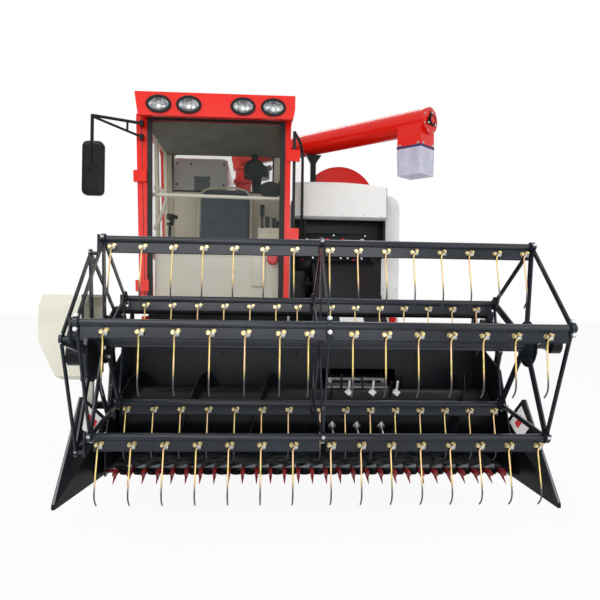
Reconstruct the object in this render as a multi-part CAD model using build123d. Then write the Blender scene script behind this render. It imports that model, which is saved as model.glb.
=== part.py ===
"""Tracked grain combine harvester with an offset cab, a tined pick-up reel and an unloading auger.

Millimetres. The machine faces -Y, its left side is +X and +Z is up. The origin lies on the ground, in
the middle of the machine's length and width. The cab and grain tank stand on the right, the threshing
unit on the left, and the header hangs ahead of both on the feeder house.
"""
import math
import os

from build123d import *

# Driving dimensions: undercarriage
TRACK_GAUGE = 1150.0  # centre to centre of the rubber tracks
TRACK_WIDTH = 400.0
BELT_THICKNESS = 28.0
LUG_HEIGHT = 24.0
LUG_PITCH = 90.0
SPROCKET = (-430.0, 400.0, 150.0)  # y, z and pitch radius of each wheel in the loop
FRONT_ROLLER_Y = -190.0
REAR_ROLLER_Y = 960.0
ROLLER_RADIUS = 75.0
IDLER = (1190.0, 285.0, 190.0)
WHEEL_CLEARANCE = 0.4
SEAT_GAP = 0.3  # between pieces that are bolted or clipped to each other
RAIL_X = 200.0
RAIL_HALF = 45.0
RAIL_FRONT_Y = -300.0
HITCH_BORE = 15.0
DECK_Z = 720.0  # top of the deck that carries cab, engine, tank and thresher
DECK_BEAM = 80.0
BODY_RIGHT = -1025.0
BODY_LEFT = 1045.0

# Driving dimensions: cab
CAB_FRONT_Y = -560.0
CAB_REAR_Y = 590.0
CAB_RIGHT_TOP = -1025.0
CAB_RIGHT_BOTTOM = -975.0
CAB_LEFT_X = 70.0
CAB_FLOOR_Z = 1147.0
CAB_SILL_Z = 1087.0
CAB_CEILING_Z = 2560.0
CAB_ROOF_Z = 2690.0
PILLAR = 50.0
GLASS = 6.0
DOOR_THICKNESS = 36.0
DOOR_GAP = 7.0
WINDOW_AJAR = 11.2  # degrees that the side window stands open
SEAT_X = -470.0
SEAT_PAN_Z = 1530.0
MIRROR_REACH_X = -1420.0
WINDOW_REAR_Y = -78.0
BASE_INSET = 15.0  # of the bulkhead box from the cab's side
REAR_WINDOW = ((CAB_RIGHT_TOP + 75, CAB_LEFT_X - 120), (2180.0, 2510.0))
WINDOW_CORNER = 35.0
SIDE_PANEL_TOP = 1550.0
VISOR_Y = -742.0
VISOR_TOP_Z = 2652.0
VISOR_FOOT_Z = 2490.0
LAMP_XS = [CAB_RIGHT_TOP + 151, CAB_RIGHT_TOP + 362, CAB_LEFT_X - 351, CAB_LEFT_X - 136]
LAMP_Z = 2567.0
LAMP_HALF = (82.0, 56.0)
LAMP_TILT = 5.0
# Hinged leaves, drawn on an upright side at u = 0 with u outwards, y along the machine and w up
LEAF_HINGE_U = 54.0
LEAF_RAIL = 42.0
LEAF_Y0 = CAB_FRONT_Y + 4.0
WINDOW_W = (1535.0, 2455.0)
WINDOW_HINGES = (1645.0, 2225.0)
DOOR_W = (18.0, 1461.0)
DOOR_HINGES = (160.0, 960.0)
DOOR_Y1 = CAB_REAR_Y - 12.0

# Driving dimensions: thresher, tank and unloading auger
THRESHER_X = (110.0, 1010.0)
THRESHER_FRONT_Y = 160.0
THRESHER_REAR_Y = 2100.0
THRESHER_TOP_Z = 2050.0
MACHINE_REAR_Y = 2602.0
DRUM_COVER_RADIUS = 331.0
DRUM_COVER_X = 584.0
DRUM_COVER_Y = (700.0, 2060.0)
TANK_LEFT_X = -470.0
TANK_Y = (625.0, 1900.0)
TANK_TOP_Z = 2480.0
BOOM_PIVOT = (-340.0, 1296.0)
BOOM_AXIS_Z = 2650.0
BOOM_HEADING = -45.5  # degrees from +X, seen from above
BOOM_LENGTH = 2188.0
BOOM_RADIUS = 83.0
BOOM_SLEEVE_RADIUS = 99.0
BOOM_SLEEVE_START = 600.0
SPOUT_SIDE = 222.0
SPOUT_BOTTOM_Z = 2432.0
CURTAIN_BOTTOM_Z = 2215.0
PIVOT_SHAFT = 28.0
HOOD_X = (116.0, 890.0)
HOOD_FRONT_Y = -60.0
HOOD_Z = (1868.0, 2185.0)
BOOM_SEAT_Z = BOOM_AXIS_Z - BOOM_SLEEVE_RADIUS - 5.0
RISER_TOP_Z = 2405.0
TURRET_FOOT_Z = RISER_TOP_Z + SEAT_GAP - BOOM_AXIS_Z
BOOM_ROOT_RADIUS = 90.0
BOOM_PIN = 14.0
END_CAP = 24.0
SPOUT_HALF = SPOUT_SIDE / 2 - 12.0
BOOM_CYLINDER_FOOT = (128.0, -196.0)
BOOM_CYLINDER_EYE = (520.0, -116.0)

# Driving dimensions: header
HEADER_X = 165.0  # middle of the header
HALF_CUT = 1125.0  # half of the cutting width
KNIFE_Y = -1712.0
KNIFE_Z = 253.0
AUGER_AXIS = (-1335.0, 508.0)
AUGER_DRUM_RADIUS = 150.0
AUGER_FLIGHT_RADIUS = 245.0
AUGER_PITCH = 400.0
AUGER_SHAFT_RADIUS = 20.0
AUGER_SHOULDER = 10.0  # how far the full shaft stands past the cut's left edge
AUGER_STUB_RADIUS = 17.5
AUGER_STUB_LENGTH = 30.0
TROUGH_GAP = 18.0
TROUGH_SHEET = 5.0
HEADER_TOP_Z = 925.0
HEADER_BEAM = 60.0
END_PLATE = 8.0
FEEDER_X = (268.0, 772.0)
FEEDER_WINDOW_Z = (330.0, 750.0)
FEEDER_PIVOT = (-60.0, 1330.0)
FEEDER_END_RADIUS = 200.0
GUARD_PITCH = 76.2
TIP_Y = -2080.0
TIP_Z = 165.0
TIP_XS = (-1137.0, 1420.0)
FEEDER_BOTTOM = (-1080.0, 262.0)
FEEDER_SHEET = 6.0
TROUGH_RADIUS = AUGER_FLIGHT_RADIUS + TROUGH_GAP
BACK_Y = AUGER_AXIS[0] + TROUGH_RADIUS
DRIVE_GUARD_X = (-1326.0, -1082.0)

# Driving dimensions: reel
REEL_AXIS = (-2100.0, 995.0)
REEL_RADIUS = 487.0
REEL_BATS = 5
REEL_PHASE = 11.8  # degrees of the foremost bat above level
SPIDER_HALF_SPAN = 1050.0
BAT_TUBE_RADIUS = 17.0
BAT_PLATE_DROP = 66.0
# runs of tines on alternate bars: first x from the header's middle, pitch, count
TINE_RUNS = (
    ((-1013.0, 146.0, 7), (36.0, 138.5, 8)),
    ((-940.0, 146.0, 6), (-90.0, 146.0, 1), (98.0, 140.0, 7)),
)
TINE_RUN_OF_BAR = (1, 0, 1, 0, 0)  # bars by number, from the foremost one on
TINE_LENGTH = 285.0
TINE_WIRE = 7.0
CRANK_DROP = 70.0  # how far the eccentric ring's centre hangs below the reel's
ECCENTRIC_PLANE = 1110.0
REEL_ARM_PLANE = 1195.0
REEL_ARM_PIVOT = (-1098.0, 1050.0)
REEL_SHAFT_RADIUS = 25.0
RUNNING_FIT = 0.05
REEL_BOSS = 25.3
ECCENTRIC_RADIUS = 110.0
ECCENTRIC_CENTRE = (REEL_AXIS[0], REEL_AXIS[1] - CRANK_DROP)
CRANK_PLANE = 1073.0
CROSS_TUBE = (-1180.0, 1120.0)
CROSS_TUBE_RADIUS = 24.0
REEL_ARM_DEPTH = 70.0

# Header lift cylinder: foot on the chassis, eye under the feeder house
LIFT_CYLINDER_X = 300.0
LIFT_FOOT = (-150.0, 480.0)
LIFT_EYE = (-480.0, 692.0)
LIFT_RADIUS = 32.0
LIFT_PIN = 14.0
LIFT_EYE_BORE = 18.0

# Reel lift cylinders: foot on each header end, eye under each reel arm
REEL_RAM_FOOT = (-1250.0, 640.0)
REEL_RAM_EYE = (-1400.0, 985.0)
REEL_RAM_RADIUS = 21.0
REEL_PIN = 9.0
REEL_EYE_BORE = 12.0

LEFT_X = HEADER_X + HALF_CUT
RIGHT_X = HEADER_X - HALF_CUT
CENTRED_ON_START = (Align.CENTER, Align.CENTER, Align.MIN)


def block(x, y, z):
    """A box between two corners, each axis given as (low, high)."""
    size = [high - low for low, high in (x, y, z)]
    middle = [(high + low) / 2 for low, high in (x, y, z)]
    return Pos(*middle) * Box(*size)


def side_sheet(outline, x):
    """An outline of (y, z) points, carried across from x[0] to x[1]."""
    face = Plane.YZ.offset(x[0]) * make_face(Polyline(*outline, close=True))
    return extrude(face, amount=x[1] - x[0], dir=(1, 0, 0))


def front_sheet(outline, y):
    """An outline of (x, z) points, carried back from y[0] to y[1]."""
    plane = Plane(origin=(0, y[0], 0), x_dir=(1, 0, 0), z_dir=(0, -1, 0))
    face = plane * make_face(Polyline(*outline, close=True))
    return extrude(face, amount=y[1] - y[0], dir=(0, 1, 0))


def plan_sheet(outline, z):
    """An outline of (x, y) points, carried up from z[0] to z[1]."""
    face = Plane.XY.offset(z[0]) * make_face(Polyline(*outline, close=True))
    return extrude(face, amount=z[1] - z[0], dir=(0, 0, 1))


def shaft(start, end, radius):
    """A round bar from one point to another."""
    run = Vector(*end) - Vector(*start)
    return Plane(origin=start, z_dir=run) * Cylinder(radius, run.length, align=CENTRED_ON_START)


def cross_shaft(x, y, z, radius):
    """A round bar along X from x[0] to x[1]."""
    return shaft((x[0], y, z), (x[1], y, z), radius)


def flat_bar(start, end, across, depth):
    """A rectangular bar between two points: across is its size along X, depth its size square to that."""
    run = Vector(*end) - Vector(*start)
    plane = Plane(origin=start, x_dir=(1, 0, 0), z_dir=run)
    return plane * Box(across, depth, run.length, align=CENTRED_ON_START)


def polar(centre, radius, degrees):
    """The (y, z) point at an angle that opens from straight ahead towards the top."""
    angle = math.radians(degrees)
    return (centre[0] - radius * math.cos(angle), centre[1] + radius * math.sin(angle))


# Undercarriage
BELT_BOTTOM = BELT_THICKNESS + LUG_HEIGHT
ROLLER_Z = BELT_BOTTOM + ROLLER_RADIUS + WHEEL_CLEARANCE
LOOP_WHEELS = [
    SPROCKET,
    (FRONT_ROLLER_Y, ROLLER_Z, ROLLER_RADIUS),
    (REAR_ROLLER_Y, ROLLER_Z, ROLLER_RADIUS),
    IDLER,
]


def loop_spans(offset):
    """Straight spans of a belt round the wheels, offset outwards: start, end and outward normal of each."""
    spans = []
    for (y0, z0, r0), (y1, z1, r1) in zip(LOOP_WHEELS, LOOP_WHEELS[1:] + LOOP_WHEELS[:1]):
        length = math.hypot(y1 - y0, z1 - z0)
        along = ((y1 - y0) / length, (z1 - z0) / length)
        lean = (r0 - r1) / length
        upright = math.sqrt(1 - lean * lean)
        normal = (along[0] * lean + along[1] * upright, along[1] * lean - along[0] * upright)
        reach0, reach1 = (r0 + WHEEL_CLEARANCE + offset), (r1 + WHEEL_CLEARANCE + offset)
        spans.append((
            (y0 + reach0 * normal[0], z0 + reach0 * normal[1]),
            (y1 + reach1 * normal[0], z1 + reach1 * normal[1]),
            normal,
        ))
    return spans


def loop_face():
    """The belt's inner outline, straight between wheels and round on them, as a filled face."""
    spans = loop_spans(0)
    edges = []
    for number, (start, end, normal) in enumerate(spans):
        following_start, _, following_normal = spans[(number + 1) % len(spans)]
        y, z, radius = LOOP_WHEELS[(number + 1) % len(LOOP_WHEELS)]
        bisector = Vector(normal[0] + following_normal[0], normal[1] + following_normal[1]).normalized()
        top = Vector(y, z) + bisector * (radius + WHEEL_CLEARANCE)
        edges += [Line(start, end), ThreePointArc(end, (top.X, top.Y), following_start)]
    return make_face(edges)


def loop_stations():
    """The belt's inner loop: a function from distance and height to a point, and the loop's length."""
    spans = loop_spans(0)
    pieces = []
    for number, (start, end, normal) in enumerate(spans):
        pieces.append(("run", math.dist(start, end), start, end, normal))
        following = spans[(number + 1) % len(spans)][2]
        y, z, radius = LOOP_WHEELS[(number + 1) % len(LOOP_WHEELS)]
        turn = (math.atan2(following[1], following[0]) - math.atan2(normal[1], normal[0])) % (2 * math.pi)
        pieces.append(("bend", turn * (radius + WHEEL_CLEARANCE), (y, z), radius + WHEEL_CLEARANCE, normal))
    length = sum(piece[1] for piece in pieces)

    def station(distance, height):
        distance %= length
        for kind, size, first, second, normal in pieces:
            if distance <= size:
                break
            distance -= size
        if kind == "run":
            share = distance / size
            base = [a + (b - a) * share for a, b in zip(first, second)]
            return (base[0] + height * normal[0], base[1] + height * normal[1])
        angle = math.atan2(normal[1], normal[0]) + distance / second
        reach = second + height
        return (first[0] + reach * math.cos(angle), first[1] + reach * math.sin(angle))

    return station, length


def rubber_track(x):
    """One rubber track: a closed belt with two staggered rows of lugs."""
    station, length = loop_stations()
    lugs = round(length / LUG_PITCH)
    pitch = length / lugs
    middle = (x[0] + x[1]) / 2
    crown = BELT_THICKNESS + LUG_HEIGHT
    # share of the pitch, height: foot, crown, crown, foot of each lug
    lug_steps = ((0.0, BELT_THICKNESS), (0.08, crown), (0.34, crown), (0.42, BELT_THICKNESS))
    rows = []
    for span, phase in (((x[0], middle), 0.0), ((middle, x[1]), 0.5)):
        outline = [
            station((lug + phase + share) * pitch, height)
            for lug in range(lugs)
            for share, height in lug_steps
        ]
        belt = make_face(Polyline(*outline, close=True)) - loop_face()
        rows.append(extrude(Plane.YZ.offset(span[0]) * belt, amount=span[1] - span[0], dir=(1, 0, 0)))
    return rows[0] + rows[1]


def track_frame(centre_x):
    """The roller frame inside one track, with its rollers and idler."""
    beam = block((centre_x - 55, centre_x + 55), (-265, 1090), (235, 345))
    fork = block((centre_x - 40, centre_x + 40), (1080, 1150), (255, 315))
    frame = beam + fork
    roller_ys = [FRONT_ROLLER_Y + (REAR_ROLLER_Y - FRONT_ROLLER_Y) * step / 4 for step in range(5)]
    for y in roller_ys:
        for side in (-1, 1):
            inner = centre_x + side * 50
            frame += cross_shaft(sorted((inner, inner + side * 60)), y, ROLLER_Z, ROLLER_RADIUS)
        frame += cross_shaft((centre_x - 52, centre_x + 52), y, ROLLER_Z, 45)
        frame += block((centre_x - 45, centre_x + 45), (y - 28, y + 28), (ROLLER_Z, 240))
    idler = cross_shaft((centre_x - 60, centre_x + 60), IDLER[0], IDLER[1], IDLER[2])
    idler -= cross_shaft((centre_x + 18, centre_x + 60), IDLER[0], IDLER[1], IDLER[2] - 28)
    idler -= cross_shaft((centre_x - 60, centre_x - 18), IDLER[0], IDLER[1], IDLER[2] - 28)
    hub = cross_shaft((centre_x - 60, centre_x + 60), IDLER[0], IDLER[1], 42)
    return frame + idler + hub


def sprocket(centre_x):
    """A drive sprocket whose teeth stay inside the belt."""
    teeth = 10
    outline = []
    for tooth in range(teeth):
        for share, radius in ((0.0, 116), (0.18, 146), (0.42, 146), (0.6, 116)):
            outline.append(polar(SPROCKET[:2], radius, 360 * (tooth + share) / teeth))
    return side_sheet(outline, (centre_x - 28, centre_x + 28))


def drive_axle():
    """Gearbox across the front of the chassis with a final drive and sprocket on each side."""
    y, z = SPROCKET[:2]
    axle = block((-150, 150), (y - 100, y + 125), (z - 110, z + 150))
    axle += cross_shaft((-TRACK_GAUGE / 2, TRACK_GAUGE / 2), y, z, 45)
    # flange that bolts against the front ends of the chassis rails
    flange = RAIL_X + RAIL_HALF
    axle += block((-flange, flange), (y + 100, RAIL_FRONT_Y - SEAT_GAP), (z, z + 120))
    for side in (-1, 1):
        axle += cross_shaft(sorted((side * 150, side * 240)), y, z, 90)
        axle += sprocket(side * TRACK_GAUGE / 2)
    return axle


def chassis_frame():
    """Ladder frame between the tracks, legs to the roller frames and the raised deck."""
    frame = Part()
    for side in (-1, 1):
        x = sorted((side * (RAIL_X - RAIL_HALF), side * (RAIL_X + RAIL_HALF)))
        frame += block(x, (RAIL_FRONT_Y, 1650), (400, 520))
        for y in (60, 820):
            reach = sorted((side * RAIL_X, side * (TRACK_GAUGE / 2 - 55)))
            frame += block(reach, (y - 45, y + 45), (250, 330))
            frame += block(x, (y - 45, y + 45), (250, 405))
        for y in (-190, 700, 1580):
            frame += block(x, (y - 40, y + 40), (515, DECK_Z - DECK_BEAM + 5))
    for y in (200, 1000, 1600):
        frame += block((-RAIL_X, RAIL_X), (y - 40, y + 40), (420, 500))
    deck = (DECK_Z - DECK_BEAM, DECK_Z)
    right, left = BODY_RIGHT + 35, BODY_LEFT - 45
    for y in (150, 700, 1250, 1550, 1850):
        frame += block((right, left), (y - 35, y + 35), deck)
    for y in (-505, -190):
        frame += block((right, 245), (y - 35, y + 35), deck)
    for x, front in ((right, -540), (-280, -540), (RAIL_X - 45, -540), (left - 80, 115)):
        frame += block((x, x + 80), (front, 1885), deck)
    # bracket that holds the foot of the header's lift cylinder
    foot_y, foot_z = LIFT_FOOT
    frame += block((RAIL_X, LIFT_CYLINDER_X + 46), (foot_y + 40, foot_y + 90), (410, 520))
    for x in (LIFT_CYLINDER_X - 46, LIFT_CYLINDER_X + 36):
        frame += block((x, x + 10), (foot_y - 28, foot_y + 41), (foot_z - 40, foot_z + 40))
    frame += cross_shaft((LIFT_CYLINDER_X - 46, LIFT_CYLINDER_X + 46), *LIFT_FOOT, LIFT_PIN)
    # towing jaw at the rear, with an upright bore for a pin
    hitch = block((-60, 60), (1630, 1760), (400, 420)) + block((-60, 60), (1630, 1760), (480, 500))
    frame += hitch + block((-RAIL_X, RAIL_X), (1600, 1650), (400, 520))
    return frame - shaft((0, 1715, 390), (0, 1715, 510), HITCH_BORE)


# Cab
def cab_right(z):
    """X of the cab's slanting right side at a height."""
    share = (z - CAB_SILL_Z) / (CAB_CEILING_Z - CAB_SILL_Z)
    return CAB_RIGHT_BOTTOM + (CAB_RIGHT_TOP - CAB_RIGHT_BOTTOM) * share


def cab_front(z, inset):
    """Corners (x, z) of the cab's tapering front between two heights, drawn in from both sides."""
    return [
        (cab_right(z[0]) + inset, z[0]), (CAB_LEFT_X - inset, z[0]),
        (CAB_LEFT_X - inset, z[1]), (cab_right(z[1]) + inset, z[1]),
    ]


def cab_section(z, inset):
    """Corners of the cab's plan at a height, drawn in by a distance."""
    x0, x1 = cab_right(z) + inset, CAB_LEFT_X - inset
    y0, y1 = CAB_FRONT_Y + inset, CAB_REAR_Y - inset
    return [(x0, y0), (x1, y0), (x1, y1), (x0, y1)]


def cab_loft(z, inset):
    """The cab's tapering volume between two heights, drawn in by a distance."""
    faces = []
    for level in z:
        outline = Polyline(*cab_section(level, inset), close=True)
        faces.append(Plane.XY.offset(level) * make_face(outline))
    return loft(faces)


def cab_frame():
    """Red pillars and rails: a tapered box with all four sides cut away."""
    frame = cab_loft((CAB_SILL_Z, CAB_CEILING_Z), 0) - cab_loft((CAB_SILL_Z - 1, CAB_CEILING_Z + 1), PILLAR)
    z = (CAB_FLOOR_Z, CAB_CEILING_Z - PILLAR)
    y = (CAB_FRONT_Y + PILLAR, CAB_REAR_Y - PILLAR)
    frame -= block((CAB_LEFT_X - PILLAR - 1, CAB_LEFT_X + 1), y, z)
    post_y = (WINDOW_REAR_Y - 12, WINDOW_REAR_Y + 28)
    frame += block((CAB_LEFT_X - PILLAR, CAB_LEFT_X - 15), post_y, (z[0] - 1, z[1] + 1))
    frame += block((CAB_LEFT_X - 15.5, CAB_LEFT_X), post_y, (SIDE_PANEL_TOP, z[1] + 1))
    # bar over the side window's leaf
    bar_z = (WINDOW_W[1] - LEAF_RAIL, z[1] + 1)
    frame += block((CAB_LEFT_X - PILLAR, CAB_LEFT_X), (y[0] - 1, post_y[0] + 1), bar_z)
    frame -= block((-1100, CAB_RIGHT_BOTTOM + PILLAR + 1), y, z)
    front = cab_front(z, PILLAR)
    frame -= front_sheet(front, (CAB_FRONT_Y - 1, CAB_FRONT_Y + PILLAR + 1))
    frame -= front_sheet(front, (CAB_REAR_Y - PILLAR - 1, CAB_REAR_Y + 1))
    for level in WINDOW_HINGES:
        frame += on_left(hinge_post(level))
    for level in DOOR_HINGES:
        frame += on_right(hinge_post(level))
    return frame


def cab_floor():
    """Floor plate with the bulkhead box that carries it on the deck."""
    floor = plan_sheet(cab_section(CAB_SILL_Z, PILLAR + 1), (CAB_SILL_Z, CAB_FLOOR_Z))
    right, left = CAB_RIGHT_BOTTOM + BASE_INSET, CAB_LEFT_X - 8
    base = block((right, left), (CAB_FRONT_Y + 25, CAB_REAR_Y - 5), (DECK_Z, CAB_SILL_Z))
    depth = (CAB_FRONT_Y - 1, CAB_FRONT_Y + 60)
    recess = block((right + 60, left - 60), depth, (DECK_Z + 60, CAB_SILL_Z - 60))
    return floor + base - recess


def window_cut(outline, corner):
    """A window's outline as a rounded rectangle, (low, high) along each of its two axes."""
    (u0, u1), (v0, v1) = outline
    return Pos((u0 + u1) / 2, (v0 + v1) / 2) * RectangleRounded(u1 - u0, v1 - v0, corner)


def cab_rear_wall():
    """Trimmed rear wall with the window over the seat."""
    z = (CAB_FLOOR_Z, CAB_CEILING_Z - PILLAR)
    y = (CAB_REAR_Y - PILLAR, CAB_REAR_Y)
    wall = front_sheet(cab_front(z, PILLAR), y)
    plane = Plane(origin=(0, y[0] - 1, 0), x_dir=(1, 0, 0), z_dir=(0, -1, 0))
    hole = extrude(plane * window_cut(REAR_WINDOW, WINDOW_CORNER), amount=PILLAR + 2, dir=(0, 1, 0))
    return wall - hole


def cab_side_wall():
    """Fixed lower panel on the cab's left side, under the hinged window and the rear pane."""
    y = (CAB_FRONT_Y + PILLAR, CAB_REAR_Y - PILLAR)
    return block((CAB_LEFT_X - 14.5, CAB_LEFT_X - 0.5), y, (CAB_FLOOR_Z, SIDE_PANEL_TOP - 0.5))


def cab_roof():
    """Roof cap with the visor that holds the work lamps."""
    y0, y1 = CAB_FRONT_Y - 30, CAB_REAR_Y + 30
    x0, x1 = CAB_RIGHT_TOP - 12, CAB_LEFT_X + 12
    side = [(y0, CAB_CEILING_Z), (y1, CAB_CEILING_Z), (y1 - 40, CAB_ROOF_Z), (y0, CAB_ROOF_Z)]
    roof = side_sheet(side, (x0, x1))
    visor_side = [
        (VISOR_Y, VISOR_TOP_Z), (y0 + 1, CAB_ROOF_Z), (y0 + 1, CAB_CEILING_Z - 48),
        (VISOR_Y + 42, VISOR_FOOT_Z), (VISOR_Y + 14, VISOR_FOOT_Z),
    ]
    visor = side_sheet(visor_side, (x0 - 14, x1 + 8))
    over = CAB_ROOF_Z + 10
    visor_front = [
        (x0 - 14, over), (x0 + 16, VISOR_FOOT_Z - 1), (x1 - 6, VISOR_FOOT_Z - 1),
        (x1 + 8, CAB_CEILING_Z), (x1 + 8, over),
    ]
    trim = front_sheet(visor_front, (VISOR_Y - 5, y0 + 1))
    roof += visor & trim
    for x in LAMP_XS:
        roof -= lamp_tilt(x) * Pos(0, 0, -24) * extrude(Ellipse(LAMP_HALF[0], LAMP_HALF[1]), amount=60)
    return roof


def lamp_tilt(x):
    """The seat of one work lamp on the visor's face: local z points out of the lamp."""
    return Pos(x, VISOR_Y + 7, LAMP_Z) * Rot(90 + LAMP_TILT, 0, 0)


def work_lamps():
    """Four oval work lamps: a bezel ring and a shallow domed lens each."""
    lamps = []
    for x in LAMP_XS:
        bowl = extrude(Ellipse(LAMP_HALF[0] - 1, LAMP_HALF[1] - 1), amount=30)
        lip = Pos(0, 0, 24) * extrude(Ellipse(LAMP_HALF[0] + 7, LAMP_HALF[1] + 7), amount=12)
        dish = Pos(0, 0, 20) * extrude(Ellipse(LAMP_HALF[0] - 12, LAMP_HALF[1] - 12), amount=20)
        lamps.append(lamp_tilt(x) * Pos(0, 0, -23) * (bowl + lip - dish))
    return Compound(lamps)


def cab_glass():
    """Windscreen, rear window and the fixed pane behind the side window, seated in their frames."""
    z = (CAB_FLOOR_Z + 0.5, CAB_CEILING_Z - PILLAR - 0.5)
    front = front_sheet(cab_front(z, PILLAR + 0.5), (CAB_FRONT_Y + 8, CAB_FRONT_Y + 8 + GLASS))
    (u0, u1), (v0, v1) = REAR_WINDOW
    plane = Plane(origin=(0, CAB_REAR_Y - 24, 0), x_dir=(1, 0, 0), z_dir=(0, -1, 0))
    rear_outline = window_cut(((u0 + 0.5, u1 - 0.5), (v0 + 0.5, v1 - 0.5)), WINDOW_CORNER - 0.5)
    rear = extrude(plane * rear_outline, amount=GLASS, dir=(0, 1, 0))
    x = CAB_LEFT_X - 20
    quarter_y = (WINDOW_REAR_Y + 28.5, CAB_REAR_Y - PILLAR - 0.5)
    quarter = block((x, x + GLASS), quarter_y, (SIDE_PANEL_TOP, z[1]))
    return Compound([front, rear, quarter])


def on_left(shape):
    """Places a piece drawn for a side on the cab's left side."""
    return Pos(CAB_LEFT_X, 0, 0) * shape


def on_right(shape):
    """Places a piece drawn for a side, its w counted from the sill, on the cab's slanting right side."""
    slant = math.degrees(math.atan2(CAB_RIGHT_BOTTOM - CAB_RIGHT_TOP, CAB_CEILING_Z - CAB_SILL_Z))
    return Pos(CAB_RIGHT_BOTTOM, 0, CAB_SILL_Z) * Rot(0, -slant, 0) * mirror_side(shape)


def mirror_side(shape):
    return shape.mirror(Plane.YZ)


def set_ajar(shape):
    """Turns the side window, drawn shut, to where it stands."""
    axis = Axis((CAB_LEFT_X + LEAF_HINGE_U, LEAF_Y0 + 4, 0), (0, 0, 1))
    return shape.rotate(axis, -WINDOW_AJAR)


def leaf_outline(y1, w, inset, bend):
    """A leaf's outline in (y, w), its rear top corner cut round."""
    y0, y1 = LEAF_Y0 + inset, y1 - inset
    w0, w1 = w[0] + inset, w[1] - inset
    bend -= inset
    slant = bend * (1 - math.sqrt(0.5))
    return make_face([
        Line((y0, w0), (y1, w0)),
        Line((y1, w0), (y1, w1 - bend)),
        ThreePointArc((y1, w1 - bend), (y1 - slant, w1 - slant), (y1 - bend, w1)),
        Line((y1 - bend, w1), (y0, w1)),
        Line((y0, w1), (y0, w0)),
    ])


def leaf_frame(y1, w, rail_w, hinges, bend):
    """A hinged leaf's frame with a cross rail, hinge knuckles at the front and a pull handle at the rear."""
    ring_face = leaf_outline(y1, w, 0, bend) - leaf_outline(y1, w, LEAF_RAIL, bend)
    frame = extrude(Plane.YZ.offset(DOOR_GAP) * ring_face, amount=DOOR_THICKNESS, dir=(1, 0, 0))
    face_u = DOOR_GAP + DOOR_THICKNESS
    if rail_w:
        frame += block((DOOR_GAP, face_u), (LEAF_Y0 + LEAF_RAIL - 1, y1 - LEAF_RAIL + 1), rail_w)
    for level in hinges:
        knuckle = shaft((LEAF_HINGE_U, LEAF_Y0 + 4, level + 14), (LEAF_HINGE_U, LEAF_Y0 + 4, level + 70), 9)
        knuckle += block((face_u - 1, LEAF_HINGE_U - 4), (LEAF_Y0, LEAF_Y0 + 8), (level + 14, level + 70))
        frame += knuckle - shaft(
            (LEAF_HINGE_U, LEAF_Y0 + 4, level), (LEAF_HINGE_U, LEAF_Y0 + 4, level + 84), 5 + RUNNING_FIT)
    grip = (w[0] + 150, w[0] + 330)
    pull = block((face_u - 1, face_u + 26), (y1 - 34, y1 - 12), grip)
    return frame + pull - block((face_u, face_u + 14), (y1 - 40, y1 - 8), (grip[0] + 22, grip[1] - 22))


def leaf_glass(y1, w, rail_w, bend):
    """A hinged leaf's glass, parted by its cross rail."""
    outline = leaf_outline(y1, w, LEAF_RAIL + 0.5, bend)
    pane = extrude(Plane.YZ.offset(DOOR_GAP + 15) * outline, amount=GLASS, dir=(1, 0, 0))
    if rail_w:
        pane -= block((0, 60), (LEAF_Y0, y1), (rail_w[0] - 0.5, rail_w[1] + 0.5))
    return pane


def hinge_post(level):
    """The cab's half of one hinge: a bracket round the pillar's corner with two lugs and the pin."""
    w = (level, level + 84)
    post = block((-30, 66), (LEAF_Y0 - 26, LEAF_Y0 - 10.5), w)
    post += block((-30, -1), (LEAF_Y0 - 11, LEAF_Y0 - 3.5), w)
    for w0 in (level, level + 72):
        post += shaft((LEAF_HINGE_U, LEAF_Y0 + 4, w0), (LEAF_HINGE_U, LEAF_Y0 + 4, w0 + 12), 9)
        post += block((LEAF_HINGE_U - 5, LEAF_HINGE_U + 5), (LEAF_Y0 - 11, LEAF_Y0 + 4), (w0, w0 + 12))
    return post + shaft((LEAF_HINGE_U, LEAF_Y0 + 4, level + 6), (LEAF_HINGE_U, LEAF_Y0 + 4, level + 78), 5)


def seat_base():
    """Seat pedestal and pan on the cab floor."""
    base = block((SEAT_X - 180, SEAT_X + 180), (110, 430), (CAB_FLOOR_Z, 1500))
    pan = block((SEAT_X - 235, SEAT_X + 235), (50, 500), (SEAT_PAN_Z - 30, SEAT_PAN_Z))
    stem = block((SEAT_X - 90, SEAT_X + 90), (478, 500), (SEAT_PAN_Z, 1700))
    return base + pan + stem


def seat_cushions():
    """Seat cushion and backrest as plain padded forms."""
    cushion = block((SEAT_X - 232, SEAT_X + 232), (30, 430), (SEAT_PAN_Z + SEAT_GAP, 1630))
    cushion = fillet(cushion.edges().filter_by(Axis.Z), 45)
    back = side_sheet([(380, 1640), (471, 1640), (526, 2135), (440, 2135)], (SEAT_X - 228, SEAT_X + 228))
    return Compound([cushion, back])


def consoles():
    """Lever console beside the seat, the smaller one on the right and the low dash behind the windscreen."""
    left = block((-165, 15), (-380, 300), (CAB_FLOOR_Z, 1650))
    left += side_sheet([(-380, 1649), (300, 1649), (300, 1700), (-300, 1760), (-380, 1700)], (-165, 15))
    # lever position: x, y, top z
    for x, y, top in ((-135, -290, 1935), (-95, -230, 1850), (-40, -230, 1840), (-15, -120, 1830)):
        left += shaft((x, y, 1700), (x, y - 18, top - 80), 8)
        left += shaft((x, y - 18, top - 85), (x, y - 24, top), 17)
    right = block((-905, -735), (-300, 300), (CAB_FLOOR_Z, 1610))
    right += shaft((-860, -220, 1609), (-860, -220, 1790), 10)
    right += Pos(-860, -220, 1805) * Sphere(32)
    dash_side = [(-500, CAB_FLOOR_Z), (-440, CAB_FLOOR_Z), (-440, 1500), (-470, 1530), (-500, 1530)]
    dash = side_sheet(dash_side, (-910, -215))
    return Compound([left, right, dash])


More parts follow.
